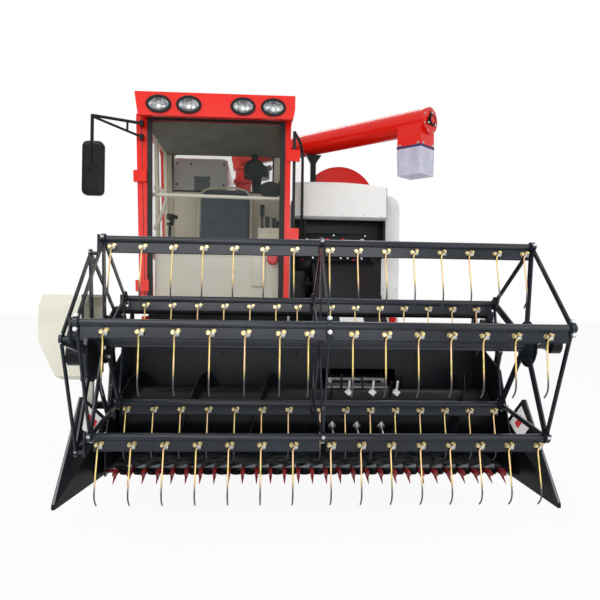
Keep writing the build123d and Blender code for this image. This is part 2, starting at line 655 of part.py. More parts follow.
def mirror():
    """Tubular bracket off the right front pillar with a convex mirror at its end."""
    y = -640
    x_end = MIRROR_REACH_X + 62
    bracket = shaft((x_end, y, 2500), (-1022, y + 40, 2464), 11)
    bracket += shaft((x_end, y, 2492), (-1018, y + 40, 2366), 9)
    bracket += shaft((-1116, y + 28, 2470), (-1116, y + 28, 2412), 8)
    bracket += shaft((x_end, y, 2506), (x_end, y, 2300), 12)
    bracket += block((-1030, -1005), (y + 30, CAB_FRONT_Y), (2446, 2484))
    bracket += block((-1030, -1003), (y + 30, CAB_FRONT_Y), (2348, 2386))
    head = block((MIRROR_REACH_X, MIRROR_REACH_X + 150), (y - 22, y + 26), (1926, 2312))
    head = fillet(head.edges().filter_by(Axis.Y), 40)
    return bracket + head


# Engine and tank side
def engine_block():
    """The engine as one plain mass at its place."""
    return block((-900, -380), (730, 1400), (DECK_Z, 1150))


def engine_cover():
    """Right side covers: a screened radiator door under the cab and a louvred cover behind it."""
    x = (BODY_RIGHT - 10, BODY_RIGHT + 30)
    screen = block(x, (-400, 560), (DECK_Z + 10, 1060))
    screen -= block((x[0] - 1, x[0] + 18), (-340, 500), (DECK_Z + 60, 1010))
    for step in range(9):
        y = -300 + step * 95
        screen += block((x[0] + 6, x[0] + 20), (y, y + 14), (DECK_Z + 55, 1015))
    cover = block(x, (640, 1880), (DECK_Z + 10, 1290))
    for step in range(7):
        z = 840 + step * 52
        cover -= side_sheet([(760, z), (1240, z), (1240, z + 22), (760, z + 22)], (x[0] - 1, x[0] + 14))
    for y in (640, 1800):
        cover += block((x[1] - 1, -925), (y, y + 60), (DECK_Z, DECK_Z + 60))
    cab_side = CAB_RIGHT_BOTTOM + BASE_INSET - SEAT_GAP
    foot = block((x[1], cab_side), (-380, -320), (DECK_Z + 20, 1040))
    foot += block((x[1], cab_side), (480, 540), (DECK_Z + 20, 1040))
    return Compound([screen + foot, cover])


def grain_tank():
    """Grain tank behind the cab: steep hopper sides under an upright bin, lids on top."""
    low, high = 1300.0, TANK_TOP_Z
    section = [
        (BODY_RIGHT, high), (BODY_RIGHT, 1700), (-860, low), (-560, low),
        (TANK_LEFT_X, 1560), (TANK_LEFT_X, high),
    ]
    tank = front_sheet(section, TANK_Y)
    for y in (TANK_Y[0] + 60, TANK_Y[1] - 90):
        tank += front_sheet([(-925, DECK_Z), (-865, DECK_Z), (-800, low + 1), (-865, low + 60)], (y, y + 30))
        tank += front_sheet([(-540, DECK_Z), (-500, DECK_Z), (-520, 1405), (-565, low + 1)], (y, y + 30))
    for y in (TANK_Y[0] + 20, (TANK_Y[0] + TANK_Y[1]) / 2 + 10):
        lid = block((BODY_RIGHT + 25, TANK_LEFT_X - 25), (y, y + 600), (high - 1, high + 16))
        tank += fillet(lid.edges().group_by(Axis.Z)[-1], 8)
    pivot_x, pivot_y = BOOM_PIVOT
    tank += block((-600, pivot_x - 84), (pivot_y - 66, pivot_y + 66), (1200, 1340))
    # pressed ribs down the outer side
    for y in (760, 1040, 1320, 1600):
        tank += block((BODY_RIGHT - 9, BODY_RIGHT + 1), (y, y + 60), (1760, high - 70))
    return tank


def air_cleaner():
    """Engine air intake: stack and pre-cleaner bowl between the tank and the thresher."""
    x, y = -197.0, 740.0
    stack = shaft((x, y, DECK_Z), (x, y, 2350), 45)
    canister = shaft((x, y, 1500), (x, y, 1850), 95)
    bowl = shaft((x, y, 2340), (x, y, 2455), 120)
    bowl = fillet(bowl.edges().group_by(Axis.Z)[-1], 30)
    cap = shaft((x, y, 2454), (x, y, 2478), 60)
    return stack + canister + bowl + cap


# Thresher
def thresher_body():
    """Threshing and cleaning unit, with the mouth behind the feeder house and the boom's rest."""
    side = [
        (THRESHER_FRONT_Y, DECK_Z), (THRESHER_FRONT_Y, THRESHER_TOP_Z), (THRESHER_REAR_Y, THRESHER_TOP_Z),
        (THRESHER_REAR_Y, 1180), (1980, DECK_Z + 40), (1880, DECK_Z),
    ]
    body = side_sheet(side, THRESHER_X)
    mouth_x = (FEEDER_X[0] + 20, FEEDER_X[1] - 20)
    body -= block(mouth_x, (THRESHER_FRONT_Y - 1, THRESHER_FRONT_Y + 160), (1180, 1480))
    pivot_y, pivot_z = FEEDER_PIVOT
    ear = [
        (THRESHER_FRONT_Y + 1, 1180), (THRESHER_FRONT_Y + 1, 1480), (pivot_y - 40, pivot_z + 60),
        (pivot_y - 65, pivot_z), (pivot_y - 40, pivot_z - 60),
    ]
    for x in (FEEDER_X[0] - 34, FEEDER_X[1] + 16):
        plate = side_sheet(ear, (x, x + 18))
        body += plate - cross_shaft((x - 1, x + 19), *FEEDER_PIVOT, PIVOT_SHAFT + RUNNING_FIT)
    front = HOOD_FRONT_Y + 12
    cheek = block((HOOD_X[1] - 22, HOOD_X[1] - 4), (front, THRESHER_FRONT_Y + 1), (1560, HOOD_Z[0] - 1))
    ledge = block((THRESHER_X[0], HOOD_X[1] - 4), (front + 40, THRESHER_FRONT_Y + 1), (1600, 1625))
    foot_z = THRESHER_TOP_Z - 1
    x = 325
    rest = [
        (x - 25, foot_z), (x + 25, foot_z), (x + 25, 2470),
        (x + 75, BOOM_SEAT_Z), (x - 65, BOOM_SEAT_Z), (x - 25, 2470),
    ]
    return body + cheek + ledge + front_sheet(rest, (588, 652))


def front_hood():
    """White hood over the feeder, crowned along its top and rolled under at its front."""
    x0, x1 = HOOD_X
    y0, y1 = HOOD_FRONT_Y, THRESHER_FRONT_Y - 0.5
    z0, z1 = HOOD_Z
    profile = make_face([
        Line((y1, z0 + 40), (y0 + 40, z0)),
        Line((y0 + 40, z0), (y0, z0 + 26)),
        Line((y0, z0 + 26), (y0 + 10, z1 - 60)),
        ThreePointArc((y0 + 10, z1 - 60), (y0 + 28, z1 - 16), (y0 + 75, z1)),
        Line((y0 + 75, z1), (y1, z1)),
        Line((y1, z1), (y1, z0 + 40)),
    ])
    hood = extrude(Plane.YZ.offset(x0) * profile, amount=x1 - x0, dir=(1, 0, 0))
    plane = Plane(origin=(0, y0 - 1, 0), x_dir=(1, 0, 0), z_dir=(0, -1, 0))
    crown = make_face([
        Line((x0, z0 - 5), (x1, z0 - 5)),
        Line((x1, z0 - 5), (x1, z1 - 42)),
        ThreePointArc((x1, z1 - 42), ((x0 + x1) / 2 - 60, z1), (x0, z1 - 14)),
        Line((x0, z1 - 14), (x0, z0 - 5)),
    ])
    return hood & extrude(plane * crown, amount=y1 - y0 + 2, dir=(0, 1, 0))


def drum_cover():
    """Arched red cover over the threshing drum, with flanges and a middle band."""
    span = DRUM_COVER_Y
    base = THRESHER_TOP_Z + 0.5
    radius = DRUM_COVER_RADIUS
    spring = 2129.0
    x0, x1 = DRUM_COVER_X - radius, DRUM_COVER_X + radius
    arch = make_face([
        Line((x0, base), (x1, base)),
        Line((x1, base), (x1, spring)),
        ThreePointArc((x1, spring), (DRUM_COVER_X, spring + radius), (x0, spring)),
        Line((x0, spring), (x0, base)),
    ])
    plane = Plane(origin=(0, span[0], 0), x_dir=(1, 0, 0), z_dir=(0, -1, 0))
    cover = extrude(plane * arch, amount=span[1] - span[0], dir=(0, 1, 0))
    for y in (span[0] + 20, 1360, span[1] - 60):
        band = shaft((DRUM_COVER_X, y, spring), (DRUM_COVER_X, y + 40, spring), radius + 9)
        cover += band & block((x0 - 9, x1 + 9), (y, y + 40), (base, spring + radius + 20))
    return cover


def thresher_covers():
    """White side covers with a rolled shoulder, one for each bay, and their louvres."""
    outer, inner = BODY_LEFT, THRESHER_X[1] + 0.5
    shoulder = 108.0
    covers = []
    # bay: front y, rear y, bottom z
    for y0, y1, bottom in ((THRESHER_FRONT_Y, 742, 760), (748, 1422, 760), (1428, 2100, 1000)):
        top = THRESHER_TOP_Z + 60
        arc_out = (outer - shoulder * (1 - math.sqrt(0.5)), top - shoulder * (1 - math.sqrt(0.5)))
        section = make_face([
            Line((inner, bottom), (outer, bottom)),
            Line((outer, bottom), (outer, top - shoulder)),
            ThreePointArc((outer, top - shoulder), arc_out, (outer - shoulder, top)),
            Line((outer - shoulder, top), (outer - shoulder, THRESHER_TOP_Z + 0.5)),
            Line((outer - shoulder, THRESHER_TOP_Z + 0.5), (inner, THRESHER_TOP_Z + 0.5)),
            Line((inner, THRESHER_TOP_Z + 0.5), (inner, bottom)),
        ])
        plane = Plane(origin=(0, y0, 0), x_dir=(1, 0, 0), z_dir=(0, -1, 0))
        cover = extrude(plane * section, amount=y1 - y0, dir=(0, 1, 0))
        if y0 == THRESHER_FRONT_Y:
            # the first bay's end wall, which turns inwards over the thresher's front
            wall = front_sheet([
                (HOOD_X[1] + 2, bottom), (outer, bottom), (outer, top - shoulder), arc_out,
                (outer - shoulder, top), (HOOD_X[1] + 2, top)], (y0 - 8, y0 - SEAT_GAP))
            skirt = extrude(plane * section, amount=4, dir=(0, -1, 0))
            cover += wall + skirt
        cover -= block((outer - 12, outer + 1), (y0 + 60, y1 - 60), (1560, 1590))
        for step in range(4):
            z = 1200 + step * 60
            cover -= block((outer - 10, outer + 1), (y0 + 160, y1 - 160), (z, z + 26))
        covers.append(cover)
    return Compound(covers)


def straw_hood():
    """Discharge hood behind the thresher, open at its foot."""
    y0, rear = THRESHER_REAR_Y + 0.5, MACHINE_REAR_Y
    outer = [(y0, 2010), (rear - 260, 2010), (rear, 1500), (rear, 1060), (rear - 60, 1000), (y0, 1000)]
    inner = [(y0 + 10, 1998), (rear - 268, 1998), (rear - 10, 1496), (rear - 10, 990), (y0 + 10, 990)]
    hood = side_sheet(outer, (THRESHER_X[0], BODY_LEFT - 5))
    hood -= side_sheet(inner, (THRESHER_X[0] + 10, BODY_LEFT - 15))
    for x in (330, 560, 790):
        hood += block((x, x + 30), (rear - 10.5, rear - 9), (1100, 1480))
    return hood


def unload_riser():
    """Upright auger tube from the tank's sump to the boom's turntable."""
    x, y = BOOM_PIVOT
    tube = shaft((x, y, 1200), (x, y, 2395), 82)
    flange = shaft((x, y, RISER_TOP_Z - 20), (x, y, RISER_TOP_Z), 104)
    foot = block((x - 34, x + 120), (y - 110, y + 110), (1050, 1205))
    leg = block((x - 30, x + 50), (y - 60, y + 60), (DECK_Z, 1060))
    return tube + flange + foot + leg


# Unloading boom, drawn along +X from its pivot and then turned to its heading
def aim_boom(shape):
    """Places a boom piece, drawn along +X from the pivot at height 0, on the machine."""
    return Pos(BOOM_PIVOT[0], BOOM_PIVOT[1], BOOM_AXIS_Z) * Rot(0, 0, BOOM_HEADING) * shape


def boom_turret():
    """Turntable on the riser with the fork that carries the boom's root and the foot of its cylinder."""
    turret = shaft((0, 0, TURRET_FOOT_Z), (0, 0, TURRET_FOOT_Z + 22), 104)
    turret += shaft((0, 0, TURRET_FOOT_Z + 20), (0, 0, -120), 84)
    turret += shaft((0, 0, -124), (0, 0, -97), 108)
    foot_x, foot_z = BOOM_CYLINDER_FOOT
    for side in (-1, 1):
        y = sorted((side * 94, side * 106))
        turret += block((-48, 48), y, (-110, 0)) + shaft((0, y[0], 0), (0, y[1], 0), 48)
        turret += block((48, foot_x + 28), sorted((side * 26, side * 38)), (foot_z - 26, foot_z + 30))
    turret += shaft((foot_x, -38, foot_z), (foot_x, 38, foot_z), 9.5)
    return aim_boom(turret - shaft((0, -110, 0), (0, 110, 0), BOOM_PIN + RUNNING_FIT))


def boom_tube():
    """The boom: round root, auger tube, conduit along its top, end cap, spout and trunnion pins."""
    end = BOOM_LENGTH - END_CAP
    tube = shaft((0, -88, 0), (0, 88, 0), BOOM_ROOT_RADIUS) + shaft((0, -110, 0), (0, 110, 0), BOOM_PIN)
    joint = end - SPOUT_SIDE - SEAT_GAP
    tube += shaft((0, 0, 0), (joint, 0, 0), BOOM_RADIUS)
    tube += shaft((BOOM_SLEEVE_START, 0, 0), (joint, 0, 0), BOOM_SLEEVE_RADIUS)
    cap = shaft((end, 0, 0), (BOOM_LENGTH, 0, 0), BOOM_RADIUS + 23)
    cap += shaft((BOOM_LENGTH - 1, 0, 0), (BOOM_LENGTH + 22, 0, 0), 34)
    # the tube's last run, over the spout, with the hole in its underside
    outlet = (joint + SEAT_GAP, end - SEAT_GAP)
    last = shaft((outlet[0], 0, 0), (outlet[1], 0, 0), BOOM_RADIUS)
    last += shaft((outlet[0], 0, 0), (outlet[1], 0, 0), BOOM_SLEEVE_RADIUS) & block(
        outlet, (-BOOM_SLEEVE_RADIUS, BOOM_SLEEVE_RADIUS), (-30, BOOM_SLEEVE_RADIUS))
    hole = SPOUT_HALF - 30
    last -= block((outlet[0] + 14, outlet[1] - 14), (-hole, hole), (-BOOM_RADIUS - 1, -30))
    rail = BOOM_SLEEVE_RADIUS + 6
    tube += shaft((BOOM_SLEEVE_START + 20, 20, rail), (joint, 20, rail), 11)
    last += shaft((outlet[0], 20, rail), (BOOM_LENGTH - 120, 20, rail), 11)
    eye_x, eye_z = BOOM_CYLINDER_EYE
    for side in (-1, 1):
        tube += block((eye_x - 24, eye_x + 24), sorted((side * 20, side * 30)), (eye_z - 20, -60))
    tube += shaft((eye_x, -31, eye_z), (eye_x, 31, eye_z), 8)
    return aim_boom(Compound([tube, last, cap]))


def boom_spout():
    """Square down-chute whose top is cut to sit round the boom's tube, against its end cap."""
    end = BOOM_LENGTH - END_CAP - SEAT_GAP
    bottom = SPOUT_BOTTOM_Z - BOOM_AXIS_Z
    wall = 6
    chute = block((end - SPOUT_SIDE, end), (-SPOUT_HALF, SPOUT_HALF), (bottom, -30 - SEAT_GAP))
    chute -= block(
        (end - SPOUT_SIDE + wall, end - wall), (-SPOUT_HALF + wall, SPOUT_HALF - wall), (bottom - 1, 1))
    return aim_boom(chute - shaft((end - SPOUT_SIDE - 1, 0, 0), (end + 1, 0, 0), BOOM_RADIUS + SEAT_GAP))


def spout_curtain():
    """Soft sleeve that hangs from the spout's mouth."""
    x0, x1 = BOOM_LENGTH - END_CAP - SPOUT_SIDE - 2, BOOM_LENGTH - END_CAP + 2
    half = SPOUT_HALF + 2
    z = (CURTAIN_BOTTOM_Z - BOOM_AXIS_Z, SPOUT_BOTTOM_Z - BOOM_AXIS_Z - 0.5)
    sleeve = block((x0, x1), (-half, half), z)
    return aim_boom(sleeve - block((x0 + 4, x1 - 4), (-half + 4, half - 4), (z[0] - 1, z[1] + 1)))


# Hydraulic cylinders
def along(start, end, share):
    """The point at a share of the way from one point to another."""
    return Vector(*start) + (Vector(*end) - Vector(*start)) * share


def ring(centre, axis, outer, bore, width):
    """A flat ring round a pin: axis is the pin's direction."""
    half = Vector(*axis) * (width / 2)
    at = Vector(*centre)
    return shaft(at - half, at + half, outer) - shaft(at - half * 1.2, at + half * 1.2, bore)


def ram_barrel(foot, eye, axis, radius, pin, shares):
    """A cylinder's barrel with the ring at its foot, bored out for the rod."""
    closed, mouth = shares
    start = (pin + 7) / (Vector(*eye) - Vector(*foot)).length
    barrel = shaft(along(foot, eye, start), along(foot, eye, mouth), radius)
    barrel += shaft(along(foot, eye, mouth - 0.04), along(foot, eye, mouth), radius * 1.12)
    barrel -= ring(foot, axis, pin + RUNNING_FIT, 0.5, 4 * radius)
    barrel += ring(foot, axis, pin + 13, pin + RUNNING_FIT, radius * 0.95)
    return barrel - shaft(along(foot, eye, closed), along(foot, eye, mouth + 0.01), radius * 0.55 + 0.5)


def ram_rod(foot, eye, axis, radius, bore, start):
    """A cylinder's rod and the ring at its end."""
    rod = shaft(along(foot, eye, start), along(foot, eye, 0.97), radius * 0.55)
    rod -= ring(eye, axis, bore, 0.5, 4 * radius)
    return rod + ring(eye, axis, bore + 11, bore, radius * 0.9)


def lift_ends():
    return (LIFT_CYLINDER_X, *LIFT_FOOT), (LIFT_CYLINDER_X, *LIFT_EYE)


def reel_ram_ends():
    """Foot and eye of each reel lift cylinder."""
    planes = [HEADER_X + side * REEL_ARM_PLANE for side in (-1, 1)]
    return [((x, *REEL_RAM_FOOT), (x, *REEL_RAM_EYE)) for x in planes]


# Feeder house
def feeder_outline(inset):
    """The feeder house's side outline, from the tangent points of its round end to the header."""
    pivot_y, pivot_z = FEEDER_PIVOT
    reach = FEEDER_END_RADIUS - inset
    lean_top, lean_bottom = math.radians(40.0), math.radians(38.5)
    return [
        (pivot_y - reach * math.sin(lean_top), pivot_z + reach * math.cos(lean_top)),
        (BACK_Y - 5, 800 - inset),
        (BACK_Y - 160, 800 - inset),
        (BACK_Y - 160, FEEDER_BOTTOM[1] + inset),
        (FEEDER_BOTTOM[0], FEEDER_BOTTOM[1] + inset),
        (pivot_y + reach * math.sin(lean_bottom), pivot_z - reach * math.cos(lean_bottom)),
    ]


def clear_of_trough(shape, gap):
    """Cuts away whatever reaches ahead of the trough's and back sheet's rear faces."""
    y, z = AUGER_AXIS
    span = (RIGHT_X - 100, LEFT_X + 100)
    shape -= cross_shaft(span, y, z, TROUGH_RADIUS + TROUGH_SHEET + gap)
    return shape - block(span, (y - 600, BACK_Y + TROUGH_SHEET + gap), (z, 1500))


def feeder_house():
    """Feeder housing: two side plates, floor and top round a closed rear end, open to the auger and drum."""
    outer = side_sheet(feeder_outline(0), FEEDER_X) + cross_shaft(FEEDER_X, *FEEDER_PIVOT, FEEDER_END_RADIUS)
    inside_x = (FEEDER_X[0] + FEEDER_SHEET, FEEDER_X[1] - FEEDER_SHEET)
    inner = side_sheet(feeder_outline(FEEDER_SHEET), inside_x)
    inner += cross_shaft(inside_x, *FEEDER_PIVOT, FEEDER_END_RADIUS - FEEDER_SHEET)
    house = outer - inner
    house -= block((FEEDER_X[0] + 30, FEEDER_X[1] - 30), (FEEDER_PIVOT[0] + 40, 200), (1215, 1445))
    house -= block(inside_x, (BACK_Y - 400, BACK_Y + 60), (FEEDER_WINDOW_Z[0], FEEDER_WINDOW_Z[1]))
    for side, x in ((-1, FEEDER_X[0]), (1, FEEDER_X[1])):
        house += cross_shaft(sorted((x - side * 5, x + side * 46)), *FEEDER_PIVOT, PIVOT_SHAFT)
    # lugs and pin for the lift cylinder's eye
    eye_y, eye_z = LIFT_EYE
    for x in (LIFT_CYLINDER_X - 32, LIFT_CYLINDER_X + 20):
        house += side_sheet([(eye_y - 22, eye_z - 22), (eye_y + 22, eye_z - 22), (eye_y + 64, eye_z + 116),
                             (eye_y - 14, eye_z + 56)], (x, x + 12))
    house += cross_shaft((LIFT_CYLINDER_X - 33, LIFT_CYLINDER_X + 33), *LIFT_EYE, LIFT_PIN)
    return clear_of_trough(house, 0.5)


def feeder_chain():
    """Slatted conveyor round a front drum, with the drum's shaft: one fixed loop."""
    front = (-960.0, 560.0)
    rear = (-100.0, 1300.0)
    radius = 82.0
    slope = math.atan2(rear[1] - front[1], rear[0] - front[0])
    across = (-math.sin(slope), math.cos(slope))
    middle, width = sum(FEEDER_X) / 2, FEEDER_X[1] - FEEDER_X[0] - 90
    chain = Part()
    for side in (-1, 1):
        for x in (FEEDER_X[0] + 60, FEEDER_X[1] - 84):
            base = [front[n] + side * radius * across[n] for n in (0, 1)]
            tip = [rear[n] + side * radius * across[n] for n in (0, 1)]
            chain += flat_bar((x + 12, *base), (x + 12, *tip), 24, 16)
        for step in range(1, 9):
            share = (step - 0.2 - 0.3 * side) / 9
            at = [front[n] + (rear[n] - front[n]) * share + side * (radius + 5) * across[n] for n in (0, 1)]
            end = [at[n] + side * 26 * across[n] for n in (0, 1)]
            chain += flat_bar((middle, *at), (middle, *end), width, 22)
    chain += cross_shaft((FEEDER_X[0] + 40, FEEDER_X[1] - 40), *front, radius + 8)
    chain += cross_shaft((FEEDER_X[0] + 40, FEEDER_X[1] - 40), *rear, radius + 8)
    chain += cross_shaft((FEEDER_X[0] + FEEDER_SHEET, FEEDER_X[1] - FEEDER_SHEET), *front, 22)
    return chain


# Header
def header_trough():
    """Sheet from the knife, round under the auger and up the back, with the window to the feeder house."""
    y, z = AUGER_AXIS
    radius, outer = TROUGH_RADIUS, TROUGH_RADIUS + TROUGH_SHEET
    front_y = KNIFE_Y + 76.5
    slant = math.sqrt(0.5)
    edges = [
        Line((front_y, z - outer), (y, z - outer)),
        ThreePointArc((y, z - outer), (y + outer * slant, z - outer * slant), (y + outer, z)),
        Line((y + outer, z), (y + outer, HEADER_TOP_Z)),
        Line((y + outer, HEADER_TOP_Z), (y + radius, HEADER_TOP_Z)),
        Line((y + radius, HEADER_TOP_Z), (y + radius, z)),
        ThreePointArc((y + radius, z), (y + radius * slant, z - radius * slant), (y, z - radius)),
        Line((y, z - radius), (front_y, z - radius)),
        Line((front_y, z - radius), (front_y, z - outer)),
    ]
    trough = extrude(Plane.YZ.offset(RIGHT_X) * make_face(edges), amount=LEFT_X - RIGHT_X, dir=(1, 0, 0))
    window = block((FEEDER_X[0] + 8, FEEDER_X[1] - 8), (y, y + radius + 20), FEEDER_WINDOW_Z)
    # pressed stiffeners up the back sheet
    for x in (-760, -520, -280, -40, 200, 900, 1130):
        trough += block((x, x + 28), (BACK_Y - 7, BACK_Y + 1), (z + 60, HEADER_TOP_Z - 60))
    return trough - window


END_OUTLINE = [
    (-1740.0, 222.0), (-1330.0, 222.0), (-1150.0, 280.0), (-1030.0, 420.0), (-1000.0, 930.0),
    (-1040.0, 1096.0), (-1130.0, 1096.0), (-1190.0, 930.0), (-1560.0, 800.0), (-1740.0, 420.0),
]


def header_ends():
    """End plates, the beams and posts behind the sheet, and the pins that carry reel arms and cylinders."""
    frame = Part()
    y, z = AUGER_AXIS
    for side, inner in ((-1, RIGHT_X), (1, LEFT_X)):
        outer = inner + side * END_PLATE
        plate = side_sheet(END_OUTLINE, sorted((inner, outer)))
        plate -= cross_shaft(sorted((inner - side, outer + side)), y, z, AUGER_SHAFT_RADIUS + RUNNING_FIT)
        frame += plate
        arm_x = HEADER_X + side * (REEL_ARM_PLANE + 28)
        frame += cross_shaft(sorted((outer - side, arm_x)), *REEL_ARM_PIVOT, 14)
        frame += cross_shaft(sorted((outer - side, arm_x)), *REEL_RAM_FOOT, REEL_PIN)
        post = sorted((inner - side * 40, inner))
        frame += block(post, (BACK_Y + TROUGH_SHEET + 0.5, -1020), (330, HEADER_TOP_Z))
    back = BACK_Y + TROUGH_SHEET + 0.5
    frame += block((RIGHT_X, LEFT_X), (back, back + HEADER_BEAM), (HEADER_TOP_Z - HEADER_BEAM, HEADER_TOP_Z))
    for x in (FEEDER_X[0] - 40.5, FEEDER_X[1] + 0.5):
        frame += block((x, x + 40), (back, back + HEADER_BEAM), (430, HEADER_TOP_Z))
    for x in ((RIGHT_X, FEEDER_X[0] - 1), (FEEDER_X[1] + 1, LEFT_X)):
        frame += block(x, (back, back + HEADER_BEAM), (430, 490))
    # bracket that carries the drive guard, under the reel arm
    guard_x = DRIVE_GUARD_X[1]
    frame += block((guard_x - 2, RIGHT_X - 2), (-1560, -1520), (560, 600))
    return frame


def dividers():
    """Crop dividers: a tapering wedge from each end plate out to its low tip."""
    wedges = []
    for side, inner, tip_x in ((-1, RIGHT_X, TIP_XS[0]), (1, LEFT_X, TIP_XS[1])):
        seat = inner + side * (END_PLATE + SEAT_GAP)
        low, high = 222.0, 640.0
        base = Plane.XZ.offset(1640) * Polyline(
            (seat, low), (tip_x, low + 60), (tip_x, high),
            (tip_x - side * 26, high), (seat, high - 130), close=True)
        nose = Plane.XZ.offset(-TIP_Y) * Polyline(
            (tip_x - side * 16, TIP_Z - 11), (tip_x, TIP_Z - 11), (tip_x, TIP_Z + 11),
            (tip_x - side * 8, TIP_Z + 11), (tip_x - side * 16, TIP_Z + 7), close=True)
        wedges.append(loft([make_face(base), make_face(nose)], ruled=True))
    return Compound(wedges)


def finger_guards():
    """Guard bar with its row of forged, pointed knife guards."""
    z = KNIFE_Z
    guards = block((RIGHT_X + 1, LEFT_X - 1), (KNIFE_Y + 34, KNIFE_Y + 76), (z - 26, z - 14))
    profile = [
        (KNIFE_Y + 76, z - 15), (KNIFE_Y + 76, z - 3), (KNIFE_Y - 66, z - 3),
        (KNIFE_Y - 66, z + 5), (KNIFE_Y - 16, z + 5), (KNIFE_Y - 18, z + 12),
        (KNIFE_Y - 80, z + 13), (KNIFE_Y - 122, z + 1), (KNIFE_Y - 84, z - 14),
    ]
    count = int((2 * HALF_CUT - 60) // GUARD_PITCH)
    first = HEADER_X - count * GUARD_PITCH / 2
    plan = [
        (-10, KNIFE_Y + 80), (10, KNIFE_Y + 80), (10, KNIFE_Y - 66),
        (2, KNIFE_Y - 124), (-2, KNIFE_Y - 124), (-10, KNIFE_Y - 66),
    ]
    guard = side_sheet(profile, (-10, 10)) & plan_sheet(plan, (z - 30, z + 30))
    for number in range(count + 1):
        guards += Pos(first + number * GUARD_PITCH, 0, 0) * guard
    return guards


def knife():
    """Reciprocating knife: a bar with its row of triangular sections and the drive head at one end."""
    z = (KNIFE_Z - 3.0 + SEAT_GAP, KNIFE_Z + 3.5)
    start, stop = RIGHT_X + 46.0, LEFT_X - 46.0
    sections = int((stop - start) // GUARD_PITCH)
    outline = [(start, KNIFE_Y + 30), (start, KNIFE_Y + 8)]
    first = HEADER_X - sections * GUARD_PITCH / 2
    for number in range(sections):
        x = first + number * GUARD_PITCH
        tip = x + GUARD_PITCH / 2
        outline += [
            (x + 1, KNIFE_Y + 8), (tip - 6, KNIFE_Y - 60), (tip + 6, KNIFE_Y - 60),
            (x + GUARD_PITCH - 1, KNIFE_Y + 8),
        ]
    outline += [(stop, KNIFE_Y + 8), (stop, KNIFE_Y + 30)]
    blade = plan_sheet(outline, z)
    return blade + block((start, start + 60), (KNIFE_Y + 9, KNIFE_Y + 30), (z[1] - 1, z[1] + 9))


def flight(x, turns, start_angle, hand):
    """One run of auger flighting about the auger's axis, built facet by facet."""
    steps = round(turns * 18)
    inner, outer = AUGER_DRUM_RADIUS - 3, AUGER_FLIGHT_RADIUS
    half = 2.5
    rim = ((inner, -1), (outer, -1), (outer, 1), (inner, 1))
    faces = []

    def corner(step, radius, side):
        angle = start_angle + hand * step * 20
        y, z = polar(AUGER_AXIS, radius, angle)
        return (x[0] + (x[1] - x[0]) * step / steps + side * half, y, z)

    def triangle_pair(a, b, c, d):
        for points in ((a, b, c), (a, c, d)):
            faces.append(Face(Wire.make_polygon(points, close=True)))

    for step in range(steps):
        near = [corner(step, radius, side) for radius, side in rim]
        far = [corner(step + 1, radius, side) for radius, side in rim]
        for n in range(4):
            triangle_pair(near[n], near[(n + 1) % 4], far[(n + 1) % 4], far[n])
    for end in (0, steps):
        end_points = [corner(end, radius, side) for radius, side in rim]
        faces.append(Face(Wire.make_polygon(end_points, close=True)))
    return Solid(Shell(faces))


def auger():
    """Header auger: drum, right- and left-hand flights and the fingers before the feeder house."""
    y, z = AUGER_AXIS
    drum = cross_shaft((RIGHT_X + 10, LEFT_X - 10), y, z, AUGER_DRUM_RADIUS)
    drum += cross_shaft((RIGHT_X - 40, LEFT_X + AUGER_SHOULDER), y, z, AUGER_SHAFT_RADIUS)
    # stepped end that takes a sprocket
    stub_end = LEFT_X + AUGER_SHOULDER + AUGER_STUB_LENGTH
    drum += cross_shaft((LEFT_X + AUGER_SHOULDER - 1, stub_end), y, z, AUGER_STUB_RADIUS)
    right_run = (RIGHT_X + 20, FEEDER_X[0] + 40)
    left_run = (LEFT_X - 20, FEEDER_X[1] - 40)
    drum += flight(right_run, (right_run[1] - right_run[0]) / AUGER_PITCH, 20, 1)
    drum += flight(left_run, (left_run[0] - left_run[1]) / AUGER_PITCH, 200, -1)
    for number in range(3):
        for turn in range(4):
            angle = turn * 90 + number * 30
            foot = polar(AUGER_AXIS, AUGER_DRUM_RADIUS - 4, angle)
            end = polar(AUGER_AXIS, AUGER_FLIGHT_RADIUS - 8, angle)
            x = FEEDER_X[0] + 106 + number * 146
            drum += flat_bar((x, *foot), (x, *end), 13, 13)
    return drum


def drive_guard():
    """Moulded cover over the header's drive at its right end: open on its inner side."""
    outline = [
        (-1320, 770), (-1320, 1150), (-1380, 1210), (-1690, 1210),
        (-1750, 1150), (-1750, 770), (-1700, 745), (-1370, 745),
    ]
    guard = side_sheet(outline, DRIVE_GUARD_X)
    x0, x1 = DRIVE_GUARD_X
    bevel = [(x0 - 1, 1000), (x0 - 1, 700), (x0 + 160, 700), (x0 + 90, 770), (x0, 960)]
    guard -= front_sheet(bevel, (-1800, -1300))
    hollow = [
        (-1330, 780), (-1330, 1145), (-1386, 1200), (-1684, 1200), (-1740, 1145), (-1740, 780),
    ]
    guard -= side_sheet(hollow, (x0 + 110, x1 + 1))
    return guard + block((x1 - 60, x1 - 2.5), (-1560, -1520), (575, 790))


# Reel
def bat_angles():
    return [REEL_PHASE + 360.0 * number / REEL_BATS for number in range(REEL_BATS)]


def star(x, centre, hub_radius, boss_radius, bore, thickness, boss_width):
    """One spider: hub disc, five flat arms, chord bars between their tips and bored tip bosses."""
    tips = [polar(centre, REEL_RADIUS, angle) for angle in bat_angles()]
    half = thickness / 2
    plate = cross_shaft((x - half, x + half), *centre, hub_radius)
    for number, tip in enumerate(tips):
        plate += flat_bar((x, *centre), (x, *tip), thickness, 43)
        plate += flat_bar((x, *tip), (x, *tips[(number + 1) % REEL_BATS]), thickness, 25)
        plate += cross_shaft((x - boss_width / 2, x + boss_width / 2), *tip, boss_radius)
    for tip in tips:
        plate -= cross_shaft((x - boss_width, x + boss_width), *tip, bore)
    return plate


